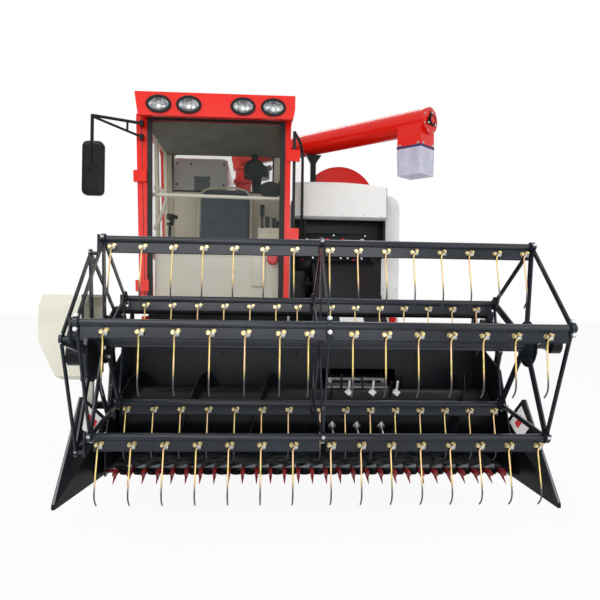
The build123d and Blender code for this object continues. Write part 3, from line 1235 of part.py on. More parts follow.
def reel_spiders():
    """Reel centre tube and shaft with three spiders."""
    reel = cross_shaft((HEADER_X - 1078, HEADER_X + 1078), *REEL_AXIS, 40)
    reel += cross_shaft((HEADER_X - 1222, HEADER_X + 1222), *REEL_AXIS, REEL_SHAFT_RADIUS)
    for plane in (-SPIDER_HALF_SPAN, 0.0, SPIDER_HALF_SPAN):
        reel += star(HEADER_X + plane, REEL_AXIS, 95, REEL_BOSS, BAT_TUBE_RADIUS + RUNNING_FIT, 8, 20)
    return reel


def eccentric():
    """Eccentric spider that keeps the tines upright: it turns about a disc below the reel's axis."""
    x = HEADER_X - ECCENTRIC_PLANE
    spider = star(x, ECCENTRIC_CENTRE, ECCENTRIC_RADIUS + 28, 20, 9 + RUNNING_FIT, 8, 12)
    spider += cross_shaft((x - 8, x + 8), *ECCENTRIC_CENTRE, ECCENTRIC_RADIUS + 28)
    return spider - cross_shaft((x - 20, x + 20), *ECCENTRIC_CENTRE, ECCENTRIC_RADIUS + RUNNING_FIT)


def bat(number):
    """One tine bar: tube, two plates, spring tines and the crank that the eccentric spider steers."""
    y, z = polar(REEL_AXIS, REEL_RADIUS, bat_angles()[number])
    bar = cross_shaft((HEADER_X - CRANK_PLANE, HEADER_X + 1068), y, z, BAT_TUBE_RADIUS)
    for x0, x1 in ((-1034, -16), (16, 1034)):
        bar += block((HEADER_X + x0, HEADER_X + x1), (y - 3, y + 3), (z - BAT_PLATE_DROP, z - 10))
    low = z - BAT_TUBE_RADIUS - TINE_LENGTH
    wire, face = TINE_WIRE, y - 3
    hook = [
        (face, z - 24), (face - wire, z - 24), (face - wire, low + 72),
        (y + 27, low), (y + 34, low + 3), (face, low + 74),
    ]
    for first, pitch, count in TINE_RUNS[TINE_RUN_OF_BAR[number]]:
        for step in range(count):
            x = HEADER_X + first + step * pitch
            bar += side_sheet(hook, (x - wire / 2, x + wire / 2))
    crank_x = HEADER_X - ECCENTRIC_PLANE
    plate_x = HEADER_X - CRANK_PLANE
    bar += flat_bar((plate_x, y, z + 22), (plate_x, y, z - CRANK_DROP - 18), 8, 36)
    bar += cross_shaft((crank_x - 10, plate_x), y, z - CRANK_DROP, 9)
    return bar


def reel_arm(side):
    """One reel arm from its pivot on the header to the reel's shaft, with the pin for its lift cylinder."""
    x = HEADER_X + side * REEL_ARM_PLANE
    inner, outer = sorted((x - 25, x + 25))
    arm = flat_bar((x, *REEL_ARM_PIVOT), (x, *REEL_AXIS), 50, REEL_ARM_DEPTH)
    arm += cross_shaft((inner, outer), *REEL_ARM_PIVOT, 40) + cross_shaft((inner, outer), *REEL_AXIS, 48)
    # clevis that straddles the cylinder's eye
    eye_y, eye_z = REEL_RAM_EYE
    arm -= block((x - 15, x + 15), (eye_y - 60, eye_y + 60), (eye_z - 90, eye_z + 36))
    lug = [
        (eye_y - 40, eye_z + 20), (eye_y + 40, eye_z + 20),
        (eye_y + 22, eye_z - 20), (eye_y - 22, eye_z - 20),
    ]
    for plate in ((x - 25, x - 15), (x + 15, x + 25)):
        arm += side_sheet(lug, plate)
    arm += cross_shaft((x - 26, x + 26), *REEL_RAM_EYE, REEL_PIN)
    if side < 0:
        hub_x = HEADER_X - ECCENTRIC_PLANE
        arm += cross_shaft((inner, hub_x - 10), *ECCENTRIC_CENTRE, 60) & block(
            (inner, hub_x), (-2400, -1800), (700, 1200))
        arm += cross_shaft((x + 24, hub_x - 9), *ECCENTRIC_CENTRE, 60)
        arm += cross_shaft((hub_x - 10, hub_x + 8), *ECCENTRIC_CENTRE, ECCENTRIC_RADIUS)
        arm += cross_shaft((inner, outer), *ECCENTRIC_CENTRE, 60)
    bore = REEL_SHAFT_RADIUS + RUNNING_FIT
    arm -= cross_shaft((inner - 60, outer + 120), *REEL_AXIS, bore)
    return arm - cross_shaft((inner - 1, outer + 1), *REEL_ARM_PIVOT, 14 + RUNNING_FIT)


def reel_arm_top(y):
    """Height of a reel arm's top face at a place along it."""
    (y0, z0), (y1, z1) = REEL_ARM_PIVOT, REEL_AXIS
    slope = (z1 - z0) / (y1 - y0)
    return z0 + slope * (y - y0) + REEL_ARM_DEPTH / 2 * math.sqrt(1 + slope * slope)


def reel_cross_tube():
    """Tube that ties both reel arms together above the header's back, with an upright at each end."""
    ends = (HEADER_X - REEL_ARM_PLANE, HEADER_X + REEL_ARM_PLANE)
    tube = cross_shaft((ends[0] - 20, ends[1] + 20), *CROSS_TUBE, CROSS_TUBE_RADIUS)
    y, z = CROSS_TUBE
    seat_z = reel_arm_top(y + CROSS_TUBE_RADIUS) + SEAT_GAP
    for x in ends:
        tube += block((x - 20, x + 20), (y - CROSS_TUBE_RADIUS, y + CROSS_TUBE_RADIUS), (seat_z, z))
    return tube


def boom_cylinder_ends():
    """Foot and eye of the boom's lift cylinder in the boom's own drawing."""
    return (BOOM_CYLINDER_FOOT[0], 0, BOOM_CYLINDER_FOOT[1]), (BOOM_CYLINDER_EYE[0], 0, BOOM_CYLINDER_EYE[1])


def warning_lamp():
    """Amber lamp on a stalk beside the spout."""
    spout = BOOM_LENGTH - END_CAP - SPOUT_SIDE / 2
    z = SPOUT_BOTTOM_Z - BOOM_AXIS_Z + 24
    stalk = shaft((spout, SPOUT_HALF + SEAT_GAP, z), (spout, SPOUT_HALF + 42, z), 8)
    dome = shaft((spout, SPOUT_HALF + 40, z), (spout, SPOUT_HALF + 104, z), 30)
    return aim_boom(stalk + chamfer(dome.edges(), 8))


def main():
    half_track = TRACK_WIDTH / 2
    lift_foot, lift_eye = lift_ends()
    across = (1, 0, 0)
    lift_ram = (lift_foot, lift_eye, across, LIFT_RADIUS)
    boom_foot, boom_eye = boom_cylinder_ends()
    boom_ram = (boom_foot, boom_eye, (0, 1, 0), 24)
    reel_rams = [(foot, eye, across, REEL_RAM_RADIUS) for foot, eye in reel_ram_ends()]
    parts = {
        "track_left": rubber_track((TRACK_GAUGE / 2 - half_track, TRACK_GAUGE / 2 + half_track)),
        "track_right": rubber_track((-TRACK_GAUGE / 2 - half_track, -TRACK_GAUGE / 2 + half_track)),
        "track_frames": Compound([track_frame(-TRACK_GAUGE / 2), track_frame(TRACK_GAUGE / 2)]),
        "drive_axle": drive_axle(),
        "chassis_frame": chassis_frame(),
        "engine_block": engine_block(),
        "engine_covers": engine_cover(),
        "grain_tank": grain_tank(),
        "air_cleaner": air_cleaner(),
        "thresher_body": thresher_body(),
        "thresher_covers": thresher_covers(),
        "drum_cover": drum_cover(),
        "front_hood": front_hood(),
        "straw_hood": straw_hood(),
        "unload_riser": unload_riser(),
        "cab_frame": cab_frame(),
        "cab_floor": cab_floor(),
        "cab_walls": Compound([cab_rear_wall(), cab_side_wall()]),
        "cab_roof": cab_roof(),
        "cab_glass": cab_glass(),
        "work_lamps": work_lamps(),
        "seat_base": seat_base(),
        "seat_cushions": seat_cushions(),
        "consoles": consoles(),
        "mirror": mirror(),
        "door_frame": on_right(leaf_frame(DOOR_Y1, DOOR_W, (430, 470), DOOR_HINGES, 90)),
        "door_glass": on_right(leaf_glass(DOOR_Y1, DOOR_W, (430, 470), 90)),
        "window_frame": set_ajar(on_left(leaf_frame(WINDOW_REAR_Y, WINDOW_W, None, WINDOW_HINGES, 150))),
        "window_glass": set_ajar(on_left(leaf_glass(WINDOW_REAR_Y, WINDOW_W, None, 150))),
        "feeder_house": feeder_house(),
        "feeder_chain": feeder_chain(),
        "header_trough": header_trough(),
        "header_ends": header_ends(),
        "dividers": dividers(),
        "finger_guards": finger_guards(),
        "drive_guard": drive_guard(),
        "knife": knife(),
        "auger": auger(),
        "reel_arm_left": reel_arm(1),
        "reel_arm_right": reel_arm(-1),
        "reel_cross_tube": reel_cross_tube(),
        "reel_spiders": reel_spiders(),
        "eccentric": eccentric(),
        "lift_barrel": ram_barrel(*lift_ram, LIFT_PIN, (0.3, 0.8)),
        "lift_rod": ram_rod(*lift_ram, LIFT_EYE_BORE, 0.45),
        "reel_ram_barrels": Compound([ram_barrel(*ram, REEL_PIN, (0.1, 0.74)) for ram in reel_rams]),
        "reel_ram_rods": Compound([ram_rod(*ram, REEL_EYE_BORE, 0.14) for ram in reel_rams]),
        "boom_ram_barrel": aim_boom(ram_barrel(*boom_ram, 9.5, (0.1, 0.66))),
        "boom_ram_rod": aim_boom(ram_rod(*boom_ram, 12, 0.14)),
        "boom_turret": boom_turret(),
        "boom_tube": boom_tube(),
        "boom_spout": boom_spout(),
        "spout_curtain": spout_curtain(),
        "warning_lamp": warning_lamp(),
    }
    for number in range(REEL_BATS):
        parts[f"bat_{number + 1}"] = bat(number)
    os.makedirs("parts", exist_ok=True)
    for name, shape in parts.items():
        export_step(shape, f"parts/{name}.step")


if __name__ == "__main__":
    main()
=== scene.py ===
"""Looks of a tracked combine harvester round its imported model. Metres, +Z up, the machine faces -Y."""

import math

import bpy
from mathutils import Matrix, Vector


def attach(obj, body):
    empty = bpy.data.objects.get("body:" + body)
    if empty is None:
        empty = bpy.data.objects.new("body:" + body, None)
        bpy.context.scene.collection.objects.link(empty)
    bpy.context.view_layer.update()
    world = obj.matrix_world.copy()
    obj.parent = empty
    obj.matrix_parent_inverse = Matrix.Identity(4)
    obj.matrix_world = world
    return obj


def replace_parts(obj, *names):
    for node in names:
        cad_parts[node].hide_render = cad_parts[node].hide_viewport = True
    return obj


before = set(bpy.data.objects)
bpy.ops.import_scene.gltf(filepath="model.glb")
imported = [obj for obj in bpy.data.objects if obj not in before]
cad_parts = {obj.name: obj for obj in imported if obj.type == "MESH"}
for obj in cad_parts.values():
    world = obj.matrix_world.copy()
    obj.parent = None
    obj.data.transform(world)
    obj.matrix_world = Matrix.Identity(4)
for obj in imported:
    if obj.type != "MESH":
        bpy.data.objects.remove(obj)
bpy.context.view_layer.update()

# Places that the model gives, in metres
HEADER_X = 0.165
REEL_AXIS = Vector((0.0, -2.100, 0.995))
REEL_RADIUS = 0.487
REEL_BATS = 5
REEL_PHASE = 11.8
SPIDER_PLANES = (-1.050, 0.0, 1.050)
ECCENTRIC_PLANE = -1.110
CRANK_DROP = 0.070
# runs of tines on alternate bars: first x from the header's middle, pitch, count
TINE_RUNS = (
    ((-1.013, 0.146, 7), (0.036, 0.1385, 8)),
    ((-0.940, 0.146, 6), (-0.090, 0.146, 1), (0.098, 0.140, 7)),
)
TINE_RUN_OF_BAR = (1, 0, 1, 0, 0)
CRANK_PLANE = -1.073
BAT_TUBE_RADIUS = 0.017
BAT_PLATE_DROP = 0.066
HUB_BOLT_CIRCLE = 0.086
TINE_REACH, FOREMOST_REACH = 0.060, 0.0215
VISOR_Y = -0.742
LAMP_XS = (-0.874, -0.663, -0.281, -0.066)
LAMP_Z = 2.567
LAMP_TILT = math.radians(95)
WINDOW_HINGE = (0.124, -0.552)
WINDOW_OPEN = math.radians(11.2)
CAB_RIGHT_X, CAB_RIGHT_TOP_X = -0.975, -1.025
CAB_SILL_Z, CAB_SIDE_HEIGHT = 1.087, 1.473
BOOM_PIVOT = Vector((-0.340, 1.296, 2.650))
BOOM_HEADING = math.radians(-45.5)
SLEEVE_TOP, SLEEVE_LENGTH = -0.2175, 0.2165
END_WALL_Y = 0.1515
TANK_FRONT_Y = 0.6248
FEEDER_TOP_Y, FEEDER_TOP_Z = -0.189, 1.483
FEEDER_RISE = 0.683 / 0.888
AUGER_AXIS = (-1.335, 0.508)
KNIFE_PITCH = 0.0762
KNIFE_PITCHES = 28
DRUM_COVER_X, DRUM_COVER_Z, DRUM_COVER_RADIUS = 0.584, 2.129, 0.3325
# cushions: one corner, the other corner, and whether it leans back
SEAT_FORMS = (
    ((-0.696, 0.036, 1.537), (-0.244, 0.424, 1.618), False),
    ((-0.692, -0.040, 0.0), (-0.248, 0.040, 0.535), True),
)
SEAT_BACK_SLOPE = 0.112
PAD_FRAMES = 12
PAD_LIMIT = 0.006
PAD_VOXEL, PAD_VOXEL_QUICK = 0.006, 0.012

AHEAD, UP = (0, -1, 0), (0, 0, 1)

# Studio and the camera that was fitted to the photograph
WORLD_LEVEL = 0.42
FLOOR_GLOW = 0.93
CAMERA_PLACE = (-0.115, -5.212, 1.200)
CAMERA_YAW = math.radians(3.31)
CAMERA_ROLL = math.radians(0.85)
FOCAL_PIXELS = 628
PHOTO_PIXELS = 600
SENSOR = 36


# Colours and nodes
def colour(text):
    """A written sRGB colour as the linear one that a shader takes."""
    channels = [int(text[n:n + 2], 16) / 255 for n in (1, 3, 5)]
    linear = [((c + 0.055) / 1.055) ** 2.4 if c > 0.04045 else c / 12.92 for c in channels]
    return linear + [1.0]


def add(tree, kind, inputs=None, **settings):
    """Adds a node: its own settings, and its sockets by name, each a value or another node's output."""
    node = tree.nodes.new(kind)
    for name, value in settings.items():
        setattr(node, name, value)
    for name, value in (inputs or {}).items():
        if isinstance(value, bpy.types.NodeSocket):
            tree.links.new(value, node.inputs[name])
        else:
            node.inputs[name].default_value = value
    return node


def new_material(name, **sockets):
    """A material with a Principled shader whose plain sockets are set by name."""
    material = bpy.data.materials.new(name)
    material.use_nodes = True
    tree = material.node_tree
    tree.nodes.clear()
    shader = add(tree, "ShaderNodeBsdfPrincipled", sockets)
    add(tree, "ShaderNodeOutputMaterial", {"Surface": shader.outputs["BSDF"]})
    return material, tree, shader


def grain(tree, size, detail=3.0, stretch=(1, 1, 1)):
    """Noise on the piece's own coordinates whose blotches are about a size across, in metres."""
    place = add(tree, "ShaderNodeTexCoord")
    spread = add(tree, "ShaderNodeMapping", {"Vector": place.outputs["Object"], "Scale": stretch})
    noise = add(tree, "ShaderNodeTexNoise", {
        "Vector": spread.outputs["Vector"], "Scale": 1 / size, "Detail": detail, "Roughness": 0.55})
    return noise.outputs["Fac"]


def ramp(tree, factor, stops):
    """Colours along a factor, as (place, written colour) pairs."""
    node = add(tree, "ShaderNodeValToRGB", {"Fac": factor})
    band = node.color_ramp
    while len(band.elements) < len(stops):
        band.elements.new(0.5)
    for element, (place, text) in zip(band.elements, stops):
        element.position = place
        element.color = colour(text)
    return node.outputs["Color"]


def span(tree, factor, low, high):
    """A factor from 0 to 1 stretched to a range of numbers."""
    return add(tree, "ShaderNodeMapRange", {"Value": factor, "To Min": low, "To Max": high}).outputs["Result"]


def slope_of(tree, factor, low, high):
    """0 below one value of a factor, 1 above another, and a slope between them."""
    return add(tree, "ShaderNodeMapRange", {
        "Value": factor, "From Min": low, "From Max": high}).outputs["Result"]


def combine(tree, operation, first, second):
    """Two factors or numbers taken together by a named operation."""
    return add(tree, "ShaderNodeMath", {0: first, 1: second}, operation=operation).outputs[0]


def set_tones(tree, shader, factor, dark, light, low=0.3, high=0.7):
    """Base colour from a dark to a light tone between two values of a factor."""
    tree.links.new(ramp(tree, factor, ((low, dark), (high, light))), shader.inputs["Base Color"])


def set_range(tree, shader, socket, factor, low, high):
    """A socket that runs between two numbers with a factor."""
    tree.links.new(span(tree, factor, low, high), shader.inputs[socket])


def set_mix(tree, shader, factor, under, over):
    """Base colour that turns from a node's colour into a written one with a factor."""
    mix = add(tree, "ShaderNodeMix", {"Factor": factor, 6: under, 7: colour(over)}, data_type="RGBA")
    tree.links.new(mix.outputs[2], shader.inputs["Base Color"])


def bump(tree, shader, height, depth):
    """Relief of a depth in metres from a height between 0 and 1."""
    node = add(tree, "ShaderNodeBump", {"Height": height, "Distance": depth})
    tree.links.new(node.outputs["Normal"], shader.inputs["Normal"])


def up_facing(tree):
    """1 where a surface looks up and 0 where it stands upright or looks down."""
    normal = add(tree, "ShaderNodeNewGeometry")
    parts = add(tree, "ShaderNodeSeparateXYZ", {"Vector": normal.outputs["Normal"]})
    return slope_of(tree, parts.outputs["Z"], 0.55, 0.95)


# Finishes
def enamel(name, dark, light, roughness=0.3, coat=0.35, peel=0.00012, shine=0.22):
    """Sprayed enamel on sheet steel: an even colour with a faint cloudiness, orange peel and a soft shine."""
    material, tree, shader = new_material(name, **{
        "Coat Weight": coat, "Coat Roughness": 0.12, "Specular IOR Level": shine})
    set_tones(tree, shader, grain(tree, 0.35), dark, light)
    set_range(tree, shader, "Roughness", grain(tree, 0.09), roughness - 0.05, roughness + 0.07)
    bump(tree, shader, grain(tree, 0.004, detail=1.0), peel)
    return material


def dust_and_highlight_enamel(name, dark, light, dust):
    """Black enamel in the header: the sheets that look up turn grey, partly a film of chaff dust and partly a
    painted highlight of light from above.
    """
    material, tree, shader = new_material(name, **{
        "Coat Weight": 0.05, "Coat Roughness": 0.2, "Specular IOR Level": 0.2})
    base = ramp(tree, grain(tree, 0.3), ((0.3, dark), (0.7, light)))
    patch = slope_of(tree, grain(tree, 0.05, detail=8.0), 0.38, 0.62)
    film = combine(tree, "MULTIPLY", up_facing(tree), patch)
    soft = combine(tree, "MULTIPLY", film, 0.75)
    # the grey mixed onto up-facing sheets is partly chaff dust and partly painted highlight
    set_mix(tree, shader, soft, base, dust)
    set_range(tree, shader, "Roughness", film, 0.3, 0.8)
    bump(tree, shader, grain(tree, 0.004, detail=2.0), 0.00015)
    return material


def moulded(name, dark, light, roughness, texture=0.0015, depth=0.0001, shine=0.4):
    """Injection-moulded plastic with a fine leathery texture."""
    material, tree, shader = new_material(name, **{"Specular IOR Level": shine})
    set_tones(tree, shader, grain(tree, 0.2), dark, light, 0.35, 0.65)
    set_range(tree, shader, "Roughness", grain(tree, 0.06), roughness - 0.06, roughness + 0.08)
    bump(tree, shader, grain(tree, texture, detail=2.0), depth)
    return material


def bare_metal(name, dark, light, roughness, size=0.01):
    """Plated or brushed metal: fine streaks that change its colour and shine."""
    material, tree, shader = new_material(name, **{"Metallic": 1.0})
    lines = grain(tree, size, detail=4.0)
    set_tones(tree, shader, lines, dark, light)
    set_range(tree, shader, "Roughness", lines, roughness - 0.06, roughness + 0.1)
    bump(tree, shader, lines, 0.00005)
    return material


def passivated_zinc(name):
    """Yellow zinc plating on spring steel: gold with green and pink in it, turning dark grey towards the tip.
    """
    material, tree, shader = new_material(name, **{"Metallic": 0.7})
    bands = grain(tree, 0.05, detail=2.0)
    tint = ramp(tree, bands, ((0.30, "#B5B06A"), (0.45, "#E0C673"), (0.58, "#E6BE9A"), (0.72, "#C4A659")))
    fall = add(tree, "ShaderNodeAttribute", attribute_name="fall").outputs["Fac"]
    # darker grey over the lower part of each tine
    tone_factor = slope_of(tree, fall, 0.58, 0.78)
    set_mix(tree, shader, tone_factor, tint, "#4C4F52")
    set_range(tree, shader, "Roughness", grain(tree, 0.01), 0.22, 0.4)
    return material


def pane(name, tint, alpha):
    """Toughened glass, seen through, with a faint tint and film of dust."""
    material, tree, shader = new_material(name, **{
        "Base Color": colour(tint), "Roughness": 0.04, "IOR": 1.5, "Specular IOR Level": 0.3})
    set_range(tree, shader, "Alpha", grain(tree, 0.4), alpha - 0.02, alpha + 0.03)
    return material


def rubber(name, tone, light):
    """Vulcanised rubber: dull black with a grey bloom and a fine pitted skin."""
    material, tree, shader = new_material(name)
    set_tones(tree, shader, grain(tree, 0.05, detail=6.0), tone, light, 0.35, 0.7)
    set_range(tree, shader, "Roughness", grain(tree, 0.02), 0.62, 0.85)
    bump(tree, shader, grain(tree, 0.003, detail=4.0), 0.0004)
    return material


def weave(name, dark, light, thread):
    """Woven seat cloth: crossed threads with a soft sheen, their spacing drawn coarse enough to show."""
    material, tree, shader = new_material(name, **{"Roughness": 0.85, "Sheen Weight": 0.35})
    place = add(tree, "ShaderNodeTexCoord").outputs["Object"]
    bands = []
    for direction in ("X", "Z"):
        wave = add(tree, "ShaderNodeTexWave", {
            "Vector": place, "Scale": 0.314 / thread, "Distortion": 0.6, "Detail": 1.0,
        }, bands_direction=direction)
        bands.append(wave.outputs["Fac"])
    cross = combine(tree, "MULTIPLY", bands[0], bands[1])
    tone_factor = combine(tree, "ADD", cross, grain(tree, 0.08))
    set_tones(tree, shader, tone_factor, dark, light, 0.35, 1.0)
    bump(tree, shader, cross, 0.0006)
    return material


def film(name, tint):
    """Soft clear vinyl film, milky and creased."""
    material, tree, shader = new_material(name, **{"Roughness": 0.3, "Specular IOR Level": 0.6})
    set_tones(tree, shader, grain(tree, 0.08), tint, "#E4E4F4")
    set_range(tree, shader, "Alpha", grain(tree, 0.12), 0.78, 0.9)
    bump(tree, shader, grain(tree, 0.03, stretch=(1, 1, 0.3)), 0.003)
    return material


def iron(name):
    """Painted cast iron with a sandy skin."""
    material, tree, shader = new_material(name, **{"Metallic": 0.2})
    set_tones(tree, shader, grain(tree, 0.05), "#2C2F30", "#43474A")
    shader.inputs["Roughness"].default_value = 0.6
    bump(tree, shader, grain(tree, 0.003, detail=6.0), 0.0006)
    return material


RED = enamel("red_gloss_enamel", "#E41A0D", "#EE2212", 0.24, 0.16)
WHITE = enamel("white_gloss_enamel", "#F1F1EE", "#F9F9F7", 0.3, 0.3)
BLACK = enamel("black_satin_enamel", "#0A0D10", "#101418", 0.3, 0.05, shine=0.14)
REEL_BLACK = enamel("graphite_gloss_enamel", "#191D24", "#242A34", 0.22, 0.3, shine=0.18)
# the grey #5F6466 on the trough's up-facing sheets is partly chaff dust and partly painted highlight
TROUGH_BLACK = dust_and_highlight_enamel("dust_and_highlight_black_enamel", "#0F1216", "#181C21", "#5F6466")
GUARD_RED = enamel("dark_red_enamel", "#7E2023", "#9C2B2C", 0.45, 0.1)
CREAM = moulded("cream_moulded_plastic", "#E4E1D0", "#EDEADC", 0.42)
BEIGE = moulded("beige_vinyl_trim", "#D2CCB4", "#DFDAC6", 0.6, texture=0.004, depth=0.0003)
BLACK_PLASTIC = moulded("black_moulded_plastic", "#08090A", "#111214", 0.3, shine=0.16)
SEAL_RUBBER = rubber("black_sealing_rubber", "#0C0D0E", "#191A1B")
TRACK_RUBBER = rubber("track_rubber", "#1B1B1A", "#33322F")
STEEL = bare_metal("zinc_plated_steel", "#A8ABAE", "#D2D4D5", 0.32)
BRIGHT_STEEL = bare_metal("hard_chrome_rod", "#C9CBCE", "#E6E7E9", 0.12)
ZINC = passivated_zinc("yellow_zinc_spring_steel")
IRON = iron("painted_cast_iron")
GLASS = pane("toughened_glass", "#4A554E", 0.09)
LENS = pane("clear_lamp_lens", "#E6EAEC", 0.06)
REFLECTOR = bare_metal("vacuum_metallised_bowl", "#33373A", "#C9CCCE", 0.12, size=0.02)
SEAT_CLOTH = weave("blue_grey_seat_cloth", "#2A323C", "#5C6A78", 0.004)
CURTAIN_FILM = film("clear_vinyl_film", "#C9CAE6")
AMBER = moulded("amber_lens_plastic", "#D98A1E", "#EFA935", 0.22)
PLATE_WHITE = moulded("blank_white_sticker", "#F0F0EE", "#F7F7F6", 0.35)
BAND_BLUE = moulded("dark_blue_webbing", "#232C52", "#2F3A66", 0.6)
SCALE_BROWN = enamel("brown_black_forging", "#2A2322", "#3A3230", 0.5, 0.05)
BULB_WHITE = moulded("frosted_bulb_glass", "#F4F4F2", "#FBFBFA", 0.2)
PALE_ZINC = bare_metal("pale_yellow_zinc_bolt", "#8E7A45", "#F0E2B4", 0.22)
OLIVE_LINING = moulded("olive_grey_roof_lining", "#75756A", "#86857A", 0.8, texture=0.003, depth=0.0003)
# Grey enamel: the tank vent's own colour, and painted light elsewhere: painted shade on the hood's lip,
# painted highlights on the knife's ribs and along the dividers' edges.
GREY_AND_PAINTED_LIGHT = enamel("grey_enamel_and_painted_light", "#777C82", "#969A9E", 0.45, 0.1)
KNOB_RED = moulded("red_phenolic_knob", "#C8202B", "#DE3038", 0.25)

NODE_FINISH = {
    TRACK_RUBBER: ("track_left", "track_right"),
    BLACK: ("track_frames", "drive_axle", "chassis_frame", "thresher_body", "header_ends", "cab_floor",
            "feeder_house", "auger", "knife", "reel_arm_left", "reel_arm_right", "reel_cross_tube",
            "lift_barrel", "reel_ram_barrels", "boom_ram_barrel", "dividers"),
    REEL_BLACK: ("reel_spiders", "eccentric") + tuple(f"bat_{n + 1}" for n in range(REEL_BATS)),
    TROUGH_BLACK: ("header_trough",),
    RED: ("engine_covers", "drum_cover", "straw_hood", "unload_riser", "cab_frame", "cab_roof", "door_frame",
          "boom_turret", "boom_tube", "boom_spout"),
    WHITE: ("grain_tank", "thresher_covers", "front_hood"),
    BEIGE: ("cab_walls", "consoles"),
    BLACK_PLASTIC: ("air_cleaner", "seat_base", "mirror"),
    SEAL_RUBBER: ("window_frame",),
    GLASS: ("cab_glass", "door_glass", "window_glass"),
    LENS: ("work_lamps",),
    CREAM: ("drive_guard",),
    GUARD_RED: ("finger_guards",),
    STEEL: ("feeder_chain",),
    BRIGHT_STEEL: ("lift_rod", "reel_ram_rods", "boom_ram_rod"),
    IRON: ("engine_block",),
    SEAT_CLOTH: ("seat_cushions",),
    CURTAIN_FILM: ("spout_curtain",),
    AMBER: ("warning_lamp",),
}
for finish, names in NODE_FINISH.items():
    for name in names:
        for node_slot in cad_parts[name].material_slots:
            node_slot.material = finish


# Modelling
def deselect():
    """Nothing stays selected."""
    for piece in list(bpy.context.selected_objects):
        piece.select_set(False)


def focus(piece):
    """One piece alone is selected and active."""
    deselect()
    piece.select_set(True)
    bpy.context.view_layer.objects.active = piece


def settle(piece):
    """Puts a piece's place, turn and size into its mesh."""
    focus(piece)
    bpy.ops.object.transform_apply(location=True, rotation=True, scale=True)
    return piece


def start_block(low, high):
    """A block between two corners."""
    deselect()
    low, high = Vector(low), Vector(high)
    bpy.ops.mesh.primitive_cube_add(size=1, location=(low + high) / 2, scale=high - low)
    return settle(bpy.context.object)


def start_rod(start, end, radius, sides=16, tip=None):
    """A round bar from one point to another, or a cone where it has a tip radius."""
    deselect()
    start, end = Vector(start), Vector(end)
    run = end - start
    turn = run.to_track_quat("Z", "Y").to_euler()
    bpy.ops.mesh.primitive_cone_add(
        vertices=sides, radius1=radius, radius2=radius if tip is None else tip, depth=run.length,
        location=(start + end) / 2, rotation=turn)
    return settle(bpy.context.object)


def round_edges(piece, width, segments=2, angle=30):
    """Bevels a piece's sharp edges in edit mode and shades it smooth."""
    focus(piece)
    bpy.ops.object.mode_set(mode="EDIT")
    bpy.ops.mesh.select_all(action="DESELECT")
    bpy.ops.mesh.edges_select_sharp(sharpness=math.radians(angle))
    bpy.ops.mesh.bevel(offset=width, segments=segments, affect="EDGES", clamp_overlap=True)
    bpy.ops.object.mode_set(mode="OBJECT")
    bpy.ops.object.shade_smooth_by_angle(angle=math.radians(40))
    return piece


def choose(piece, kind, test):
    """Opens a piece in edit mode with those edges (kind 1) or faces (kind 2) chosen that pass a test."""
    focus(piece)
    bpy.context.tool_settings.mesh_select_mode = [kind == number for number in range(3)]
    kinds = (piece.data.vertices, piece.data.edges, piece.data.polygons)
    for parts in kinds:
        parts.foreach_set("select", [False] * len(parts))
    for part in kinds[kind]:
        part.select = test(part)
    bpy.ops.object.mode_set(mode="EDIT")


def pick(piece, test):
    """Opens a piece in edit mode with those faces chosen whose normal passes a test."""
    choose(piece, 2, lambda face: test(face.normal))


def pick_edges(piece, test):
    """Opens a piece in edit mode with those edges chosen whose two ends pass a test."""
    ends = piece.data.vertices
    choose(piece, 1, lambda edge: test(*[ends[index].co for index in edge.vertices]))


def toward(axis, sign):
    """The test for faces that look along an axis."""
    return lambda normal: sign * getattr(normal, axis) > 0.9


def inset(width, depth=0.0):
    """Draws a smaller outline inside the chosen faces."""
    bpy.ops.mesh.inset(thickness=width, depth=depth)


def draw_out(step, scale=None, centre=(0, 0, 0)):
    """Extrudes the chosen faces by a step and then widens or narrows them about a centre."""
    bpy.ops.mesh.extrude_region_move(TRANSFORM_OT_translate={"value": step})
    if scale:
        bpy.ops.transform.resize(value=scale, center_override=centre)


def close(piece, angle=40):
    """Leaves edit mode and shades a piece smooth but for its sharp edges."""
    bpy.ops.object.mode_set(mode="OBJECT")
    bpy.ops.object.shade_smooth_by_angle(angle=math.radians(angle))
    return piece


def open_frame(piece, axis, width):
    """Makes a flat block into a frame: both broad faces are inset, taken out and their rims bridged."""
    pick(piece, lambda normal: abs(getattr(normal, axis)) > 0.9)
    inset(width)
    bpy.ops.mesh.delete(type="FACE")
    bpy.ops.mesh.select_mode(type="EDGE")
    bpy.ops.mesh.select_non_manifold()
    bpy.ops.mesh.bridge_edge_loops()
    return close(piece)


def soft_block(low, high, width=0.003, segments=2):
    """A block between two corners with its edges rounded."""
    return round_edges(start_block(low, high), width, segments)


def soft_rod(start, end, radius, sides=20, tip=None, width=0.001):
    """A round bar, or a cone, with its ends' edges rounded."""
    return round_edges(start_rod(start, end, radius, sides, tip), width, 1)


def slab(corners, thick):
    """A thin plate on four corner points, given in order round it, raised along their normal."""
    corners = [Vector(corner) for corner in corners]
    normal = (corners[1] - corners[0]).cross(corners[3] - corners[0]).normalized()
    plate = start_block((0, 0, 0), (1, 1, 1))
    for vertex in plate.data.vertices:
        place = {(0, 0): 0, (1, 0): 1, (1, 1): 2, (0, 1): 3}[round(vertex.co.x), round(vertex.co.y)]
        vertex.co = corners[place] + normal * (thick * vertex.co.z)
    return round_edges(plate, min(0.0006, thick / 3), 1)


def oval(low, high, half, sides=36):
    """An oval plug along Z from one height to another, half as its two half sizes."""
    plug = start_rod((0, 0, low), (0, 0, high), 1.0, sides)
    plug.scale = (*half, 1.0)
    return settle(plug)


def copy_of(piece, matrix):
    """A copy of a piece with its own mesh, moved."""
    twin = piece.copy()
    twin.data = piece.data.copy()
    bpy.context.scene.collection.objects.link(twin)
    twin.data.transform(matrix)
    return twin


